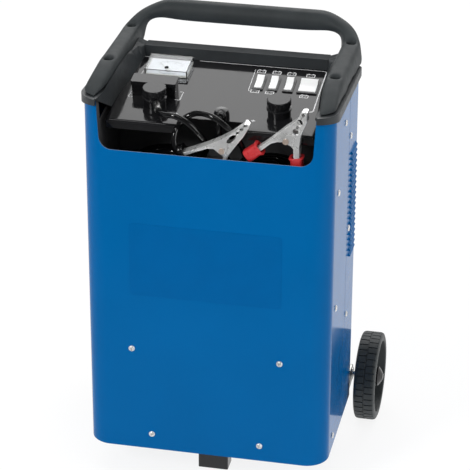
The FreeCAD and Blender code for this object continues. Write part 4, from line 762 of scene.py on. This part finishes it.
def panel_print():
    """Field outlines, battery signs and polarity signs; the panel's wording is left off."""
    form = bmesh.new()
    border = rounded([(-50, 171.5), (128, 170.3), (128, 62.6), (120, 62.2)], 4)
    turned = ARC_STEPS + 1
    ribbon(form, border[:turned + 1], 0.8, printed)
    ribbon(form, border[turned:], 1.4, printed)
    ribbon(form, [(-140, 171.5), (-121, 171.5)], 0.8, printed)
    ribbon(form, rounded([(30.7, 161), (31.9, 104), (36.2, 102.4)], 2), 0.7, printed)
    ribbon(form, [(-121.2, 134), (-121.8, 117)], 0.8, printed)
    ribbon(form, rounded([(-123.3, 82), (-125, 63), (-119, 63.1)], 1), 1.2, printed)
    ribbon(form, rounded([(-60.7, 64.3), (-54, 65), (-53.7, 85.7), (-58.6, 85.8)], 1), 1.1, printed)
    for x, v in BATTERY_MARKS:
        battery_mark(form, x, v)
    plus_mark(form, 54, 28.6, 2.8)
    plus_mark(form, -50, 28.4, 2.8)
    ribbon(form, [(0, 52.2), (8, 52.8)], 1.1, printed)
    return finish_piece(mesh_piece("panel_print", form), "white_plastic", "cabinet", look=PRINT)


panel_print()


# Screws with a cross recess

SCREW_HEIGHT = 0.0024
# The cross's arms and half its slots, as shares of the head's radius, and its depth as a share of the height
CROSS_ARM, CROSS_SLOT, CROSS_DEPTH = 0.6, 0.15, 0.7
SHANK_SHARE = 0.43
SCREW_RINGS, SCREW_SIDES = 18, 64


def screw_head(form, centre, axis, radius, shank, turned):
    """A pan head on its shank, as rings whose inner part sinks along two crossing slots."""
    side = Matrix.Rotation(turned, 3, axis) @ axis.orthogonal().normalized()
    other = axis.cross(side)
    arm, slot, depth = radius * CROSS_ARM, radius * CROSS_SLOT, SCREW_HEIGHT * CROSS_DEPTH

    def lift(a, b, share):
        """How high the head stands at a point: sunk in the cross, and rounded off towards its rim."""
        for along, across in ((abs(a), abs(b)), (abs(b), abs(a))):
            if along < arm and across < slot:
                return SCREW_HEIGHT - depth * (1 - 0.4 * along / arm)
        return SCREW_HEIGHT * (1 - 0.6 * max((share - 0.4) / 0.6, 0) ** 2.5)

    profile = [(radius * (i / SCREW_RINGS), None) for i in range(1, SCREW_RINGS + 1)]
    profile += [(radius, 0), (radius * SHANK_SHARE, 0), (radius * SHANK_SHARE, -shank)]
    rings = []
    for flat, level in profile:
        ring = []
        for j in range(SCREW_SIDES):
            angle = 2 * math.pi * j / SCREW_SIDES
            a, b = flat * math.cos(angle), flat * math.sin(angle)
            up = lift(a, b, flat / radius) if level is None else level
            ring.append(form.verts.new(centre + side * a + other * b + axis * up))
        rings.append(ring)
    skin(form, rings)
    form.faces.new(rings[-1])
    middle = form.verts.new(centre + axis * (SCREW_HEIGHT - depth))
    for j in range(SCREW_SIDES):
        form.faces.new((middle, rings[0][j - 1], rings[0][j]))


def cross_screws(name, axis, seat, shank):
    """Heads with a cross recess in place of a node's plain ones, facing outwards from seats on both sides."""
    form = bmesh.new()
    for number, (low, high) in enumerate(islands(nodes[name])):
        centre = (low + high) / 2
        outward = Vector((0, 0, 0))
        outward[axis] = math.copysign(1, centre[axis])
        centre[axis] = seat * outward[axis]
        radius = (high - low)[(axis + 1) % 3] / 2
        screw_head(form, centre, outward, radius, shank, 0.4 + number * 0.7)
    return finish_piece(mesh_piece(name + "_crossed", form, 40), "zinc_steel", "cabinet", [name], CLAMP_STEEL)


SIDE_SEAT, RECESS_SEAT = 0.170, 0.583
cross_screws("front_screws", 1, -FRONT / 1000, 0.008)
cross_screws("side_screws", 0, SIDE_SEAT, 0.008)
cross_screws("handle_screws", 2, RECESS_SEAT, 0.014)


# Meter face

DIAL_HEIGHT = 3.0
INK_RISE = 0.06
PIVOT_X, PIVOT_V = -86, 131
SCALE_RADIUS = 25.5
SCALE_FIRST, SCALE_LAST, SCALE_STEPS = 133, 47, 24
FIGURE_SIZE = 3
# Half-width and half-depth of a dark half-ellipse line drawn on the dial in front of the needle's pivot
PIVOT_ARC_WIDE, PIVOT_ARC_DEEP = 12, 5.4


def on_dial(x, v):
    """A point on the dial, the thickness of its ink above it."""
    return on_panel(x, v, DIAL_HEIGHT + INK_RISE)


def around_pivot(degrees, radius):
    """A flat point round the needle's pivot."""
    angle = math.radians(degrees)
    return PIVOT_X + radius * math.cos(angle), PIVOT_V + radius * math.sin(angle)


def figures(form, text, x, v):
    """Plain figures set flat on the dial."""
    curve = bpy.data.curves.new("figures", "FONT")
    curve.body, curve.size, curve.align_x, curve.align_y = text, FIGURE_SIZE / 1000, "CENTER", "CENTER"
    holder = bpy.data.objects.new("figures", curve)
    bpy.context.scene.collection.objects.link(holder)
    mesh = bpy.data.meshes.new_from_object(holder)
    mesh.transform(Matrix.Translation(on_dial(x, v)) @ Matrix.Rotation(PANEL_TILT, 4, "X"))
    form.from_mesh(mesh)
    bpy.data.objects.remove(holder)
    bpy.data.curves.remove(curve)
    bpy.data.meshes.remove(mesh)


def dial_print():
    """A plain scale: an arc, its strokes and round figures, and a dark half-ellipse line in front of the
    pivot.
    """
    form = bmesh.new()
    angles = [SCALE_FIRST + (SCALE_LAST - SCALE_FIRST) * i / SCALE_STEPS for i in range(SCALE_STEPS + 1)]
    ribbon(form, [around_pivot(angle, SCALE_RADIUS) for angle in angles], 0.35, on_dial)
    for i, angle in enumerate(angles):
        stroke, width = (2.4, 0.35) if i % 4 == 0 else (1.3, 0.2)
        ends = [around_pivot(angle, SCALE_RADIUS), around_pivot(angle, SCALE_RADIUS + stroke)]
        ribbon(form, ends, width, on_dial)
        if i % 8 == 0:
            figures(form, str(i * 5 // 4), *around_pivot(angle, SCALE_RADIUS - FIGURE_SIZE))
    turns = [math.radians(degrees) for degrees in range(180, 361, 12)]
    pivot_arc = [(PIVOT_X + PIVOT_ARC_WIDE * math.cos(turn), PIVOT_V + PIVOT_ARC_DEEP * math.sin(turn)) for turn in turns]
    ribbon(form, pivot_arc, 0.5, on_dial)
    return finish_piece(mesh_piece("dial_print", form), "dial_face", "cabinet", look=INK)


dial_print()


ZERO_X, ZERO_V, ZERO_RADIUS = -87.2, 129.9, 2.9
ZERO_SIDES = 32
ZERO_SLOT_HALF, ZERO_SLOT_DEPTH = 0.5, 0.6


def zero_screw():
    """The slotted zero-adjusting screw in the meter's cover; its rings above 10.5 mm have the slot."""
    form = bmesh.new()
    rings = []
    for flat, level in ((0.35, 11.1), (0.7, 11.0), (0.92, 10.8), (1, 10.4), (1, 9.4)):
        ring = []
        for j in range(ZERO_SIDES):
            angle = 2 * math.pi * j / ZERO_SIDES
            a, b = ZERO_RADIUS * flat * math.cos(angle), ZERO_RADIUS * flat * math.sin(angle)
            sunk = ZERO_SLOT_DEPTH if abs(b) < ZERO_SLOT_HALF and level > 10.5 else 0
            ring.append(form.verts.new(on_panel(ZERO_X + a, ZERO_V + b, level - sunk)))
        rings.append(ring)
    skin(form, rings)
    form.faces.new(rings[0])
    form.faces.new(rings[-1])
    return finish_piece(mesh_piece("zero_screw", form), "black_plastic", "cabinet")


zero_screw()


# Front label

LABEL_HALF = 105
LABEL_SPAN = (242, 350)
LABEL_SHEET = 0.25
LABEL_CORNER = 6


def bare_label():
    """The front sheet's label: a bare film in the cabinet's colour, with rounded corners."""
    form = bmesh.new()
    low, high = LABEL_SPAN
    half = LABEL_HALF
    corners = [(0, low), (half, low), (half, high), (-half, high), (-half, low), (0, low)]
    outline = rounded(corners, LABEL_CORNER)[:-1]
    front = [form.verts.new(at(p.x, -LABEL_SHEET, p.y)) for p in outline]
    back = [form.verts.new(at(p.x, 0, p.y)) for p in outline]
    form.faces.new(front)
    for i in range(len(outline)):
        form.faces.new((front[i - 1], front[i], back[i], back[i - 1]))
    return finish_piece(mesh_piece("front_label", form), "blue_steel", "cabinet", look=LABEL_FILM)


bare_label()


# Floor, backdrop and light

def any_of(look, *outputs):
    """The strongest of several ray kinds."""
    share = outputs[0]
    for output in outputs[1:]:
        share = look.math("MAXIMUM", share, output)
    return share


def plain_background():
    """A pale floor that reads white around the object, with its shadow, and falls dark towards the front."""
    look = Look("floor", (0.86, 0.86, 0.86), 0.9)
    glow = look.add("Emission", {"Strength": 1.05})
    rays = look.add("LightPath").outputs
    forward = look.add("SeparateXYZ", {0: look.place}).outputs["Y"]
    lit = look.spread(forward, 0.06, 1, -0.9, -0.25)
    mirrored = look.math("MULTIPLY", any_of(look, rays["Is Glossy Ray"], rays["Is Transmission Ray"]), lit)
    seen = any_of(look, rays["Is Camera Ray"], mirrored)
    black = look.add("Emission", {"Strength": 0.0})
    darkened = look.math("MULTIPLY", rays["Is Glossy Ray"], look.math("SUBTRACT", 1, lit))
    unlit = look.add("MixShader", {0: darkened, 1: look.shader.outputs[0], 2: black.outputs[0]})
    share = look.math("MULTIPLY", seen, 0.82)
    mix = look.add("MixShader", {0: share, 1: unlit.outputs[0], 2: glow.outputs[0]})
    look.tree.links.new(mix.outputs[0], look.tree.nodes["Material Output"].inputs["Surface"])
    bpy.ops.mesh.primitive_plane_add(size=40)
    floor = bpy.context.object
    floor.name = "floor"
    floor.data.materials.append(look.material)


class Surround(Look):
    """The world's own node tree, built with the same helpers as a material's."""

    def __init__(self, world):
        world.use_nodes = True
        self.tree = world.node_tree
        self.shader = self.tree.nodes["Background"]


def make_world():
    """A studio that is white low behind and beside the object, and dark overhead and in front."""
    world = bpy.data.worlds.new("studio")
    bpy.context.scene.world = world
    look = Surround(world)
    look.shader.inputs["Color"].default_value = (0.96, 0.98, 1, 1)
    look.shader.inputs["Strength"].default_value = 0.5
    direction = look.add("SeparateXYZ", {0: look.add("TexCoord").outputs["Generated"]})
    level = look.math("MULTIPLY", look.spread(direction.outputs["Y"], 0.2, 1, -0.5, 0),
                      look.spread(direction.outputs["Z"], 1, 0.12, 0.35, 0.55))
    white = look.add("Background", {"Strength": level})
    rays = look.add("LightPath").outputs
    seen = any_of(look, rays["Is Camera Ray"], rays["Is Glossy Ray"], rays["Is Transmission Ray"])
    mix = look.add("MixShader", {0: seen, 1: look.shader.outputs[0], 2: white.outputs[0]})
    look.tree.links.new(mix.outputs[0], look.tree.nodes["World Output"].inputs["Surface"])


def softbox(name, place, aim, width, height, power):
    """A white rectangular lamp at a place, turned towards its aim."""
    data = bpy.data.lights.new(name, "AREA")
    data.shape, data.size, data.size_y, data.energy = "RECTANGLE", width, height, power
    lamp = bpy.data.objects.new(name, data)
    lamp.location = place
    lamp.rotation_mode = "QUATERNION"
    lamp.rotation_quaternion = (Vector(aim) - Vector(place)).to_track_quat("-Z", "Y")
    bpy.context.scene.collection.objects.link(lamp)


plain_background()
make_world()
softbox("key", (-1.3, -2.2, 1.9), (0, 0, 0.3), 0.6, 0.6, 35)
softbox("side", (2.4, -0.9, 1.1), (0.1, 0, 0.3), 1.0, 1.6, 18)
softbox("strip", (-0.2, -0.5, 1.9), (0, -0.1, 0.4), 2.2, 0.16, 5)
softbox("back", (0, 1.9, 1.9), (0, 0, 0.5), 2.6, 1.7, 30)
